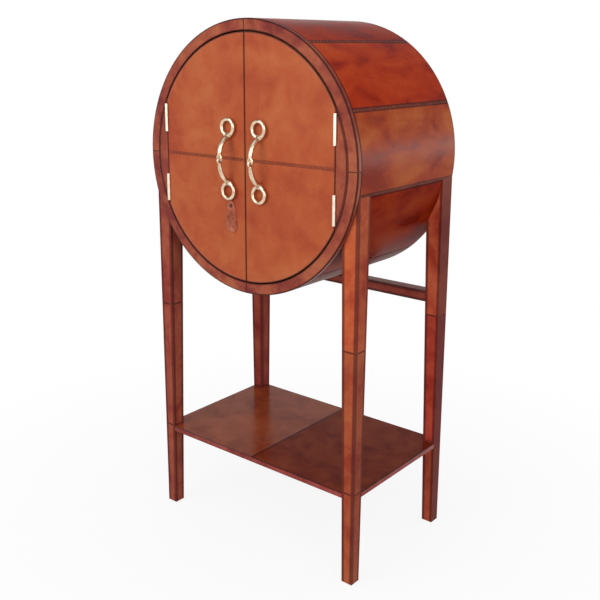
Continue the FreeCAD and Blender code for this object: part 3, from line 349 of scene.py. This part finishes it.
thong_bead = bead(8, 5)
lace_hide = hide("lacing thong", (0.10, 0.016, 0.010), (0.23, 0.050, 0.028), (0.36, 0.10, 0.06),
                 cloud=30.0)
drum_lace = bmesh.new()
for angle in SEAM_ANGLES:
    on_centre_line = abs(math.cos(angle)) < 1e-6
    for side in (1,) if on_centre_line else (1, -1):
        out = Vector((math.cos(angle) * side, 0, math.sin(angle)))
        for step in range(int((BACK - FACE - LACE_ENDS) / LACE_PITCH)):
            seam = Vector((0, FACE + LACE_START + step * LACE_PITCH, CENTRE))
            stitch(drum_lace, thong_bead, seam + out * (RADIUS + LACE_STAND), ALONG_DRUM, out,
                   LACE_SIZE, LACE_SLANT * side)
settle(drum_lace, "drum_lacing", lace_hide, "carcass")


# Front ring leather: four quarters of hide wrapped over the ring's face and both its edges.
# They butt at the quarter points, the edges are turned round a soft corner and stitched down.
RING_INNER = 0.3020
RING_EDGE = 0.0024
RING_DYE = ((0.20, 0.034, 0.030), (0.322, 0.071, 0.042), (0.42, 0.118, 0.058))
BUTT_LINE = (0.0026, 0.9)
SAME_RADIUS = 0.004
RING_STITCHES = 340
RING_STITCH = (0.0044, 0.0009, 0.0009)
THREAD_IN = 0.0011
OUTWARD = Vector((0, -1, 0))


def on_face(a, b):
    """Edges of a leather that lie in the plane of the doors' faces."""
    return max(a.y, b.y) < FACE + TOUCH


def round_the_ring(a, b):
    """Edges of the ring's face that run round it, at its outside and its inside."""
    level = Vector((a.x, a.z - CENTRE)).length - Vector((b.x, b.z - CENTRE)).length
    return on_face(a, b) and abs(level) < SAME_RADIUS


ring_lines = [("radius", RING_INNER, 0.0042, 0.95), ("depth", RING_BACK, 0.0024, 0.9),
              ("across", 0.0, *BUTT_LINE), ("height", CENTRE, *BUTT_LINE)]
ring_corner = ([("radius", RADIUS, 0.0056, 1.0)], [("depth", FACE, 0.0050, 1.0)])
ring_hide = hide("glazed ring hide", *RING_DYE, cloud=8.0, spread=0.11, lines=ring_lines,
                 corners=ring_corner, shine=0.15)
soften("ring_leather", ring_hide, RING_EDGE, "carcass", round_the_ring)

waxed_thread = hide("waxed thread", (0.20, 0.09, 0.06), (0.34, 0.18, 0.13), (0.46, 0.28, 0.21),
                    roughness=0.45, cloud=40.0)
thread_bead = bead(6, 4)
ring_thread = bmesh.new()
for step in range(RING_STITCHES):
    angle = 2 * math.pi * (step + 0.5) / RING_STITCHES
    radial = Vector((math.cos(angle), 0, math.sin(angle)))
    out = (radial + OUTWARD).normalized()
    place = Vector((0, FACE + THREAD_IN, CENTRE)) + radial * (RADIUS - THREAD_IN)
    stitch(ring_thread, thread_bead, place, out.cross(ALONG_DRUM), out, RING_STITCH)
settle(ring_thread, "ring_stitching", waxed_thread, "carcass")


# Crescents and doors: hide glued over flat panels, the doors' in an upper and a lower half that are
# laced together on the panel at mid height. Their edges are burnished and run with a line of thread.
HINGE_LINE = 0.2677
SEAM_GAP = 0.0006
upper_low, upper_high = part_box("door_right_leather_upper")
DOOR_SEAM = upper_low.z - SEAM_GAP / 2
DOOR_RADIUS = upper_high.z - CENTRE
DOOR_EDGE = 0.0011
CRESCENT_EDGE = 0.0010
EDGE_LINE = (0.0042, 0.92)
SEAM_HALF = 0.0031
SEAM_LINE = (0.0017, 0.66)
PULL_X = 0.0495
DOOR_LACE_ENDS = (0.012, 0.258)
DOOR_LACE_SIZE = (0.0140, 0.0022, 0.0009)
DOOR_LACE_SLANT = LACE_SLANT * 0.7
THREAD_INSET = 0.0052
THREAD_PITCH = 0.0068
FROM_HINGE, FROM_MEETING = 0.004, 0.02  # what the thread leaves free at its ends, in radians
DOOR_STITCH = (0.0046, 0.0009, 0.0007)

rim_lines = [("radius", DOOR_RADIUS, *EDGE_LINE), ("width", HINGE_LINE, *EDGE_LINE)]
door_lines = rim_lines + [("width", 0.0, 0.0052, 0.66), ("height", DOOR_SEAM, 0.0042, 0.18),
                          ("height", DOOR_SEAM - SEAM_HALF, *SEAM_LINE),
                          ("height", DOOR_SEAM + SEAM_HALF, *SEAM_LINE)]
door_hide = hide("glazed door hide", (0.375, 0.060, 0.023), (0.448, 0.091, 0.031),
                 (0.495, 0.126, 0.043), cloud=4.5, veins=0.46, spread=0.115, fleck=0.2,
                 lines=door_lines, glaze=(1.0, 0.8, 0.7))
for side in ("left", "right"):
    for level in ("upper", "lower"):
        soften("door_%s_leather_%s" % (side, level), door_hide, DOOR_EDGE, side + "_door",
               on_face)
crescent_hide = hide("glazed crescent hide", *RING_DYE, cloud=8.0, lines=rim_lines, shine=0.15)
soften("crescent_leathers", crescent_hide, CRESCENT_EDGE, "carcass", on_face)

for side, way in (("left", -1), ("right", 1)):
    door = side + "_door"
    door_lace = bmesh.new()
    reach, last = DOOR_LACE_ENDS
    while reach < last:
        under_the_pull = abs(reach - PULL_X) < LACE_PITCH / 2
        if not under_the_pull:
            stitch(door_lace, thong_bead, Vector((way * reach, FACE, DOOR_SEAM)), Vector((1, 0, 0)),
                   OUTWARD, DOOR_LACE_SIZE, DOOR_LACE_SLANT)
        reach += LACE_PITCH
    settle(door_lace, "door_%s_lacing" % side, lace_hide, door)
    door_thread = bmesh.new()
    turn = math.acos((HINGE_LINE - THREAD_INSET) / (DOOR_RADIUS - THREAD_INSET)) + FROM_HINGE
    while turn < math.pi / 2 - FROM_MEETING:
        for up in (1, -1):
            radial = Vector((math.cos(turn) * way, 0, math.sin(turn) * up))
            place = Vector((0, FACE, CENTRE)) + radial * (DOOR_RADIUS - THREAD_INSET)
            stitch(door_thread, thread_bead, place, radial.cross(ALONG_DRUM), OUTWARD, DOOR_STITCH)
        turn += THREAD_PITCH / DOOR_RADIUS
    settle(door_thread, "door_%s_stitching" % side, waxed_thread, door)


# Butt hinges and lock parts: drawn brass, turned and polished, then lacquered. The knuckles are five
# to a hinge. The lock's case and the plates and magnets that hold the doors shut are plain steel.
def metal(name, plain, pale, roughness):
    """Polished metal, slightly clouded and with faint polishing marks."""
    finish, tree, shader, places = start_finish(name, roughness)
    shader.inputs["Metallic"].default_value = 1.0
    cloud = add(tree, "TexNoise", {"Vector": places, "Scale": 90.0, "Detail": 4.0}).outputs[0]
    tree.links.new(shades(tree, cloud, (0.35, plain), (0.65, pale)), shader.inputs["Base Color"])
    rub = add(tree, "TexNoise", {"Vector": places, "Scale": 700.0, "Detail": 3.0}).outputs[0]
    dull(tree, shader, rub, roughness - 0.05, roughness + 0.07)
    emboss(tree, shader, cloud, strength=0.04, distance=0.0004)
    return finish


hinge_brass = metal("hinge brass", (0.78, 0.66, 0.50), (0.90, 0.82, 0.68), 0.30)
dress(hinge_brass, "hinge_pins", "lock_bolt", "strike_plate",
      *["hinge_%s_%s_%s_leaf" % (side, level, part) for side in ("left", "right")
        for level in ("upper", "lower") for part in ("frame", "door")])
steel = metal("plain steel", (0.41, 0.41, 0.41), (0.49, 0.49, 0.49), 0.34)
dress(steel, "lock_case", "door_left_catch_plates", "door_right_catch_plates", "catch_magnets")


# Wood screws of the hinges, pulls and lock: slotted heads, three to a hinge leaf, sunk flush in brass.
# Those of the pulls, from inside the doors, and of the lock are steel and stand a little proud.
# Each head is turned as the driver left it, by an angle from its place, so no two slots line up.
HINGE_HALF = 0.035
SCREW_SPREAD = 0.023
LEAF_MIDDLE = 0.0100
LEAF_FACE = 0.0002
HINGE_HEAD = (0.0029, 0.00012)
PULL_HEAD = (0.0044, 0.0004)
PULL_HEAD_HALF = 0.0046
CASE_INSET = 0.0062
CASE_HEAD = (0.0024, 0.0005)
FOREND_HEAD = (0.0024, 0.0001)
SLOT_HALF = 0.16
INWARD = Vector((0, 1, 0))
HEAD_CREASE = 30
dress(steel, "pull_left_screws", "pull_right_screws")


def slotted_head(bm, place, out, size, turn):
    """A flat round head, of a radius and a rise, whose slot is open from edge to edge."""
    radius, rise = size
    facing = out.to_track_quat("Z", "Y").to_matrix() @ Matrix.Rotation(turn, 3, "Z")
    lay = Matrix.Translation(place) @ facing.to_4x4()
    for side in (1, -1):
        half = bmesh.new()
        bmesh.ops.create_circle(half, cap_ends=True, segments=28, radius=radius)
        bmesh.ops.bisect_plane(half, geom=half.verts[:] + half.edges[:] + half.faces[:],
                               plane_co=(0, radius * SLOT_HALF * side, 0), plane_no=(0, side, 0),
                               clear_inner=True)
        raised = bmesh.ops.extrude_face_region(half, geom=half.faces[:])["geom"]
        top = [vert for vert in raised if isinstance(vert, bmesh.types.BMVert)]
        bmesh.ops.translate(half, vec=(0, 0, rise), verts=top)
        bmesh.ops.transform(half, matrix=lay, verts=half.verts)
        bmesh.ops.recalc_face_normals(half, faces=half.faces)
        copied = bpy.data.meshes.new("half head")
        half.to_mesh(copied)
        half.free()
        bm.from_mesh(copied)
        bpy.data.meshes.remove(copied)


for side, way in (("left", -1), ("right", 1)):
    for part, body, outward in (("frame", "carcass", -1), ("door", side + "_door", 1)):
        heads = bmesh.new()
        for level in ("upper", "lower"):
            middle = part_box("hinge_%s_%s_%s_leaf" % (side, level, part))[0].z + HINGE_HALF
            for count in (-1, 0, 1):
                spot = Vector(((HINGE_LINE - LEAF_FACE * outward) * way, FACE + LEAF_MIDDLE,
                               middle + SCREW_SPREAD * count))
                slotted_head(heads, spot, Vector((outward * way, 0, 0)), HINGE_HEAD, count * 0.9 + way)
        settle(heads, "hinge_%s_%s_screws" % (side, part), hinge_brass, body,
               crease=HEAD_CREASE)
    heads = bmesh.new()
    low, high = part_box("pull_%s_screws" % side)
    for z in (low.z + PULL_HEAD_HALF, high.z - PULL_HEAD_HALF):
        slotted_head(heads, Vector(((low.x + high.x) / 2, high.y, z)), INWARD, PULL_HEAD, z * 40)
    settle(heads, "pull_%s_screw_slots" % side, steel, side + "_door", crease=HEAD_CREASE)
low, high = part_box("lock_case")
heads = bmesh.new()
for z in (low.z + CASE_INSET, high.z - CASE_INSET):
    for x in (low.x + CASE_INSET, high.x - CASE_INSET):
        slotted_head(heads, Vector((x, high.y, z)), INWARD, CASE_HEAD, x * 90 + z * 40)
    slotted_head(heads, Vector((high.x, (low.y + high.y) / 2, z)), Vector((1, 0, 0)), FOREND_HEAD,
                 z * 50)
settle(heads, "lock_case_screws", steel, "left_door", crease=HEAD_CREASE)


# Pulls: snaffle-bit halves cast in brass, each a ring and an arm in one piece, linked at their eyes.
# The castings are fettled smooth and polished, so every junction has a soft fillet.
NECK_RISE = 0.05455
RING_STAND = 0.0076
WEB = (0.0120, 0.0034, 0.0070)
WEB_RISE = 0.0032
SHOULDER = (0.0086, 0.0100, 0.0046)
SHOULDER_REACH = 0.0040
ARM_LEAN = math.radians(65)
ARM_START, ARM_END, ARM_BLEND = 0.012, 0.064, 0.008
SKIN_FULLER = 0.0004
ARM_FULLER = 0.0012


def cast(name, body, x, up):
    """Copy a casting, fill out its arm and neck, run its junctions together and smooth them."""
    bm = bmesh.new()
    bm.from_mesh(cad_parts[name].data)
    bmesh.ops.remove_doubles(bm, verts=bm.verts, dist=WELD)
    bm.normal_update()
    for vert in bm.verts:
        rise = abs(vert.co.z - CENTRE)
        past_eye = min(1, max(0, (rise - ARM_START) / ARM_BLEND))
        before_ring = min(1, max(0, (ARM_END - rise) / ARM_BLEND))
        sideways = Vector((vert.normal.x, 0, vert.normal.z))
        vert.co += sideways * (SKIN_FULLER + ARM_FULLER * past_eye * before_ring)
    neck = Matrix.Translation((x, FACE - RING_STAND, CENTRE + NECK_RISE * up))
    web = neck @ Matrix.Translation((0, 0, WEB_RISE * up)) @ Matrix.Diagonal((*WEB, 1.0))
    arm_way = neck @ Matrix.Rotation((math.pi / 2 - ARM_LEAN) * up, 4, "X")
    shoulder = arm_way @ Matrix.Translation((0, -SHOULDER_REACH, 0)) @ Matrix.Diagonal((*SHOULDER, 1.0))
    for fill in (web, shoulder):
        bmesh.ops.create_uvsphere(bm, u_segments=24, v_segments=16, radius=1.0, matrix=fill)
    piece = settle(bm, name + "_casting", pull_brass, body, stands_for=(name,), crease=180)
    skin = piece.modifiers.new("fettle", "REMESH")
    skin.mode = "VOXEL"
    skin.voxel_size = 0.00055
    skin.use_smooth_shade = True
    polish = piece.modifiers.new("polish", "SMOOTH")
    polish.factor = 0.5
    polish.iterations = 16


pull_brass = metal("pull brass", (0.60, 0.44, 0.29), (0.85, 0.68, 0.50), 0.18)
for side, way in (("left", -1), ("right", 1)):
    for level, up in (("upper", 1), ("lower", -1)):
        cast("pull_%s_%s_half" % (side, level), side + "_door", PULL_X * way, up)


# Key tab: a teardrop of thicker hide that hangs from a stud and covers the keyhole.
# It is darker than the door, and a line of thread follows its border.
TAB_FRONT = FACE - 0.0026
TAB_EDGE = 0.0008
tab_low, tab_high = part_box("key_tab")
FOOT_RADIUS = (tab_high.x - tab_low.x) / 2
TOP_RADIUS = 0.0115
TAB_INSET = 0.0030
TAB_PITCH = 0.0040
TAB_STITCH = (0.0032, 0.0008, 0.0007)


def rounds(middle, radius, start, end):
    """Places and directions of the tab's stitches along an arc about a middle."""
    count = round(abs(end - start) * radius / TAB_PITCH)
    for step in range(count):
        turn = start + (end - start) * (step + 0.5) / count
        radial = Vector((math.cos(turn), 0, math.sin(turn)))
        yield middle + radial * radius, radial.cross(ALONG_DRUM)


tab_hide = hide("key tab hide", (0.24, 0.048, 0.026), (0.43, 0.120, 0.066), (0.56, 0.20, 0.12),
                roughness=0.38, cloud=26.0, shine=0.3)
soften("key_tab", tab_hide, TAB_EDGE, "tab", where=lambda a, b: max(a.y, b.y) < TAB_FRONT)
foot = Vector(((tab_low.x + tab_high.x) / 2, tab_low.y, tab_low.z + FOOT_RADIUS))
top = Vector((foot.x, foot.y, tab_high.z - TOP_RADIUS))
lean = math.asin((FOOT_RADIUS - TOP_RADIUS) / (top.z - foot.z))
laid = [*rounds(foot, FOOT_RADIUS - TAB_INSET, lean, -math.pi - lean),
        *rounds(top, TOP_RADIUS - TAB_INSET, lean, math.pi - lean)]
for way in (1, -1):
    out = Vector((math.cos(lean) * way, 0, math.sin(lean)))
    low, high = foot + out * (FOOT_RADIUS - TAB_INSET), top + out * (TOP_RADIUS - TAB_INSET)
    count = round((high - low).length / TAB_PITCH)
    laid += [(low.lerp(high, (step + 0.5) / count), high - low) for step in range(count)]
tab_thread = bmesh.new()
for place, along in laid:
    stitch(tab_thread, thread_bead, place, along, OUTWARD, TAB_STITCH)
settle(tab_thread, "key_tab_stitching", waxed_thread, "tab")
stud_finish = metal("antiqued stud", (0.10, 0.035, 0.026), (0.17, 0.070, 0.050), 0.35)
dress(stud_finish, "tab_stud")


# Legs: tapered beech posts in hide sleeves, each sleeve in three lengths that butt at two seams.
# The sleeve closes along the corners, which are burnished dark and run with thread.
# On the right legs each length has a tone of its own, and the upper length is lightened as painted light
# where the drum shades the tops of the legs.
FOOT = 0.003
LEG_TOP = CENTRE - LEG_DROP
LEG_WIDE = 0.046
FOOT_WIDE = 0.030
TAPER = (LEG_WIDE - FOOT_WIDE) / (LEG_TOP - FOOT)
LEG_OUTER = math.sqrt(RADIUS ** 2 - LEG_DROP ** 2)
LEG_INNER = LEG_OUTER - FOOT_WIDE + TAPER * FOOT
LEG_EDGE = 0.0020
MIDDLE_SEAM = 0.600
LOWER_SEAM = 0.243
CORNER = 0.0118
THREAD_ENDS = 0.010
LEG_PITCH = 0.0070
LEG_STITCH = (0.0046, 0.0010, 0.0010)
LEG_THREAD_IN = 0.0009
DRUM_CLEAR = 0.001
# Dyes of the legs: the rear left is darker, as painted shade, and the rear right lighter, as painted
# light where the drum shades it.
LEG_DYES_AND_PAINTED_LIGHT = {"front left": ((0.265, 0.039, 0.030), (0.370, 0.083, 0.048), (0.43, 0.120, 0.066)),
            "front right": ((0.29, 0.038, 0.022), (0.410, 0.084, 0.038), (0.48, 0.122, 0.052)),
            "rear left": ((0.21, 0.022, 0.016), (0.310, 0.052, 0.034), (0.37, 0.078, 0.046)),
            "rear right": ((0.31, 0.030, 0.016), (0.490, 0.082, 0.037), (0.57, 0.122, 0.055))}
CLOUDS = {"front left": 7.0, "front right": 7.0, "rear left": 7.0, "rear right": 5.4}
# Painted shade on the outer side of each leg, as a share of the dark of the burnished edges: light on the
# front legs, strong on the rear ones.
OUTER_SIDE_PAINTED_SHADE = {"front": 0.14, "rear": 0.74}
LENGTH_STARTS = (0.0, LOWER_SEAM / LEG_TOP, MIDDLE_SEAM / LEG_TOP)
# Tones of the three lengths of each leg, from the foot up; on the right legs the upper length is
# lightened as painted light where the drum shades the tops of the legs.
LENGTH_TONES_AND_PAINTED_LIGHT = {"front left": ((1.0, 1.0, 1.0), (1.0, 1.0, 1.0), (1.0, 1.0, 1.0)),
                "front right": ((1.05, 1.05, 1.0), (1.02, 1.06, 1.0), (1.27, 1.22, 1.05)),
                "rear left": ((1.0, 1.0, 1.0), (1.0, 1.0, 1.0), (1.0, 1.0, 1.0)),
                "rear right": ((1.08, 1.10, 1.2), (0.96, 0.76, 0.95), (1.34, 1.55, 1.55))}


def leg_corners(rank):
    """The planes whose crossings are the corners of a front or a rear leg."""
    face, way = (RING_BACK, 1) if rank == "front" else (BACK, -1)
    inner = face + way * (FOOT_WIDE - TAPER * FOOT)
    return ([("width", LEG_OUTER, CORNER, 1.0), ("width", LEG_INNER, CORNER, 1.0, -TAPER)],
            [("depth", face, CORNER, 1.0), ("depth", inner, CORNER, 1.0, way * TAPER)])


def runs_up(a, b):
    """Edges that run up a leg on its outside."""
    return abs(a.z - b.z) > 0.8 * (a - b).length


dress(steel, "leg_bolts")
leg_seams = [("height", MIDDLE_SEAM, 0.0042, 0.85), ("height", LOWER_SEAM, 0.0042, 0.85)]
for rank in ("front", "rear"):
    # The outer side of the leg is darkened toward the dark of the burnished edges as painted shade.
    shade = ("width", LEG_OUTER, 0.0040, OUTER_SIDE_PAINTED_SHADE[rank])
    for side, way in (("left", -1), ("right", 1)):
        leg = rank + " " + side
        dress(stained_post, "leg_%s_%s" % (rank, side))
        length_tones_and_light = ("height", 0.0, LEG_TOP, list(zip(LENGTH_STARTS, LENGTH_TONES_AND_PAINTED_LIGHT[leg])))
        leg_hide = hide("glazed leg hide with painted shade " + leg, *LEG_DYES_AND_PAINTED_LIGHT[leg], cloud=CLOUDS[leg], panels=length_tones_and_light,
                        lines=leg_seams + [shade], corners=leg_corners(rank),
                        burnish_and_shade=(0.070, 0.014, 0.016), worn=0.72, shine=0.05)
        soften("leg_leather_%s_%s" % (rank, side), leg_hide, LEG_EDGE, "carcass", runs_up)
        leg_thread = bmesh.new()
        z = THREAD_ENDS
        while z < LEG_TOP - THREAD_ENDS:
            wide = FOOT_WIDE + TAPER * (z - FOOT)
            near, far = (RING_BACK, RING_BACK + wide) if rank == "front" else (BACK - wide, BACK)
            for x, y, push in ((LEG_OUTER, near, (way, -1)), (LEG_OUTER - wide, near, (-way, -1)),
                               (LEG_OUTER, far, (way, 1)), (LEG_OUTER - wide, far, (-way, 1))):
                out = Vector((*push, 0)).normalized()
                place = Vector((x * way, y, z)) - out * LEG_THREAD_IN
                if Vector((place.x, place.z - CENTRE)).length > RADIUS + DRUM_CLEAR:
                    stitch(leg_thread, thread_bead, place, Vector((0, 0, 1)), out, LEG_STITCH)
            z += LEG_PITCH
        settle(leg_thread, "leg_stitching_%s_%s" % (rank, side), waxed_thread, "carcass")
glide_finish = timber("hard glide", (0.30, 0.27, 0.24), (0.42, 0.39, 0.35), (1.0, 1.0, 1.0), 0.5)
dress(glide_finish, "foot_glides")


# Lower shelf: a board wrapped in hide, with two hides on top that butt on the centre line.
# Its edge is rounded and in a lighter hide, with a burnished line where the top hide ends.
SHELF_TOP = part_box("lower_shelf_leather_left")[1].z
TOP_HIDE = 0.0012
SHELF_THICK = 0.0150
TOP_EDGE = 0.0010
WRAP_EDGE = 0.0028
# The left top hide is dyed lighter and greyer than the right, partly as a painted sheen for the
# reflection on the shelf's left half.
SHELF_DYES_AND_PAINTED_SHEEN = {"left": ((0.200, 0.032, 0.012), (0.285, 0.054, 0.017), (0.345, 0.072, 0.022)),
              "right": ((0.125, 0.014, 0.006), (0.190, 0.028, 0.009), (0.235, 0.040, 0.012))}
dress(stained_board, "shelf_dowels")
shelf_lines = [("across", 0.0, 0.0056, 0.95), ("width", LEG_OUTER, 0.0040, 0.9),
               ("depth", RING_BACK, 0.0040, 0.9), ("depth", BACK, 0.0040, 0.9)]
for side, shine in (("left", 0.38), ("right", 0.08)):
    shelf_hide = hide("glazed shelf hide " + side, *SHELF_DYES_AND_PAINTED_SHEEN[side], roughness=0.19, fleck=0.1,
                      lines=shelf_lines, relief=0.02, shine=shine, glaze=(1.0, 0.95, 0.9))
    soften("lower_shelf_leather_" + side, shelf_hide, TOP_EDGE, "carcass",
           where=lambda a, b: min(a.z, b.z) > SHELF_TOP - TOUCH)
wrap_lines = [("height", SHELF_TOP - TOP_HIDE, 0.0018, 0.9),
              ("height", SHELF_TOP - SHELF_THICK, 0.0026, 0.8)]
wrap_hide = hide("glazed shelf edge", (0.20, 0.024, 0.020), (0.31, 0.052, 0.042), (0.40, 0.085, 0.070),
                 cloud=12.0, lines=wrap_lines)
soften("lower_shelf", wrap_hide, WRAP_EDGE, "carcass",
       where=lambda a, b: max(a.z, b.z) < SHELF_TOP - SHELF_THICK + TOUCH)


# Rear rail: a short beech rail under the drum, between the rear legs, in a hide sleeve.
# The sleeve's four long corners are burnished as the legs' are.
RAIL_EDGE = 0.0020
LONG_WAY = 0.1  # only the rail's long edges reach this far across
dress(stained_board, "rear_rail")
rail_low, rail_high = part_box("rear_rail_leather")
rail_corners = ([("height", rail_low.z, CORNER, 1.0), ("height", rail_high.z, CORNER, 1.0)],
                [("depth", rail_low.y, CORNER, 1.0), ("depth", rail_high.y, CORNER, 1.0)])
rail_hide = hide("glazed rail hide", (0.23, 0.034, 0.024), (0.36, 0.070, 0.048), (0.46, 0.110, 0.078),
                 cloud=8.0, corners=rail_corners, worn=0.7)
soften("rear_rail_leather", rail_hide, RAIL_EDGE, "carcass",
       where=lambda a, b: abs(a.x - b.x) > LONG_WAY)


# Studio: a plain pale floor that runs back into a white room. Two broad soft lights stand before the
# cabinet, in front and at its right side, a weak one hangs above and a low strip lights it from behind.
FLOOR_HALF = 16.0
floor_mesh = bpy.data.meshes.new("studio floor")
floor_shape = bmesh.new()
bmesh.ops.create_grid(floor_shape, x_segments=1, y_segments=1, size=FLOOR_HALF)
floor_shape.to_mesh(floor_mesh)
floor_shape.free()
floor = bpy.data.objects.new("studio_floor", floor_mesh)
bpy.context.scene.collection.objects.link(floor)

paper, tree, shader, places = start_finish("white paper", 0.9)
shader.inputs["Specular IOR Level"].default_value = 0.0
away = add(tree, "VectorMath", {0: places}, operation="LENGTH").outputs["Value"]
fade = add(tree, "MapRange", {"Value": away, "From Min": 0.3, "From Max": 1.4, "To Min": 0.88}).outputs[0]
rays = add(tree, "LightPath", {}).outputs
seen = sum_of(tree, "MAXIMUM", rays["Is Camera Ray"],
              sum_of(tree, "MAXIMUM", rays["Is Glossy Ray"], rays["Is Transmission Ray"]))
tree.links.new(shades(tree, seen, (0.0, (0.45, 0.45, 0.45)), (1.0, (0.93, 0.93, 0.93))),
               shader.inputs["Base Color"])
glow = add(tree, "Emission", {"Color": (1.0, 1.0, 1.0, 1.0), "Strength": 1.0}).outputs[0]
mixed = add(tree, "MixShader", {0: sum_of(tree, "MULTIPLY", fade, seen), 1: shader.outputs[0],
                                2: glow}).outputs[0]
tree.links.new(mixed, tree.nodes["Material Output"].inputs["Surface"])
floor_mesh.materials.append(paper)

ROOM_LOW = 0.55
ROOM_FALL = -0.22
world = bpy.data.worlds.new("white room")
bpy.context.scene.world = world
world.use_nodes = True
tree = world.node_tree
rays = add(tree, "LightPath", {}).outputs
climb = add(tree, "SeparateXYZ", {0: add(tree, "TexCoord", {}).outputs["Generated"]}).outputs["Z"]
above = add(tree, "MapRange", {"Value": climb, "From Min": 0.05, "From Max": 0.45},
            interpolation_type="SMOOTHSTEP").outputs[0]
room = sum_of(tree, "MULTIPLY_ADD", above, ROOM_FALL, ROOM_LOW)
mirrored = sum_of(tree, "MAXIMUM", rays["Is Glossy Ray"], rays["Is Transmission Ray"])
paper_wall = sum_of(tree, "MULTIPLY", mirrored, sum_of(tree, "SUBTRACT", 1.0, above))
seen = sum_of(tree, "MAXIMUM", rays["Is Camera Ray"], paper_wall)
strength = sum_of(tree, "MULTIPLY_ADD", seen, sum_of(tree, "SUBTRACT", 1.0, room), room)
tree.nodes["Background"].inputs["Color"].default_value = (1.0, 1.0, 1.0, 1.0)
tree.links.new(strength, tree.nodes["Background"].inputs["Strength"])


def soft_light(name, place, aim, size, power):
    """A soft box, wide and high, that points at a spot."""
    lamp = bpy.data.lights.new(name, "AREA")
    lamp.shape = "RECTANGLE"
    lamp.size, lamp.size_y = size
    lamp.energy = power
    box = bpy.data.objects.new(name, lamp)
    box.location = place
    box.rotation_euler = (Vector(aim) - Vector(place)).to_track_quat("-Z", "Y").to_euler()
    bpy.context.scene.collection.objects.link(box)


soft_light("broad front light", (-0.8, -3.5, 2.2), (0, 0, 1.0), (2.4, 2.4), 60)
soft_light("broad side light", (2.6, -2.1, 2.0), (0, 0, 0.9), (2.4, 2.4), 42)
soft_light("overhead light", (0.0, -1.6, 3.6), (0, -0.2, 1.05), (2.6, 2.4), 14)
soft_light("low back strip", (2.8, 2.9, 0.95), (0.3, 0, 1.0), (2.4, 0.6), 25)


# Camera: it stands where the photograph was taken from, in front of the cabinet and to its right.
# Its lens, shift and roll were fitted to the drum, hinges, legs and shelf in the photograph.
PICTURE = 600
FILM = 36
FOCAL = 865.9
MIDDLE_OFF = (25, -44)
ROLL = math.radians(-0.18)
STAND = (1.3965, -1.5257 + FACE, 1.2842)
LOOK = Vector((-0.63117, 0.73898, -0.23567))
camera = bpy.data.cameras.new("camera")
camera.sensor_width = FILM
camera.lens = FILM * FOCAL / PICTURE
camera.shift_x, camera.shift_y = (off / PICTURE for off in MIDDLE_OFF)
eye = bpy.data.objects.new("camera", camera)
turned = LOOK.to_track_quat("-Z", "Y").to_matrix() @ Matrix.Rotation(ROLL, 3, "Z")
eye.matrix_world = Matrix.Translation(STAND) @ turned.to_4x4()
bpy.context.scene.collection.objects.link(eye)
bpy.context.scene.camera = eye
bpy.context.scene.view_settings.view_transform = "Standard"
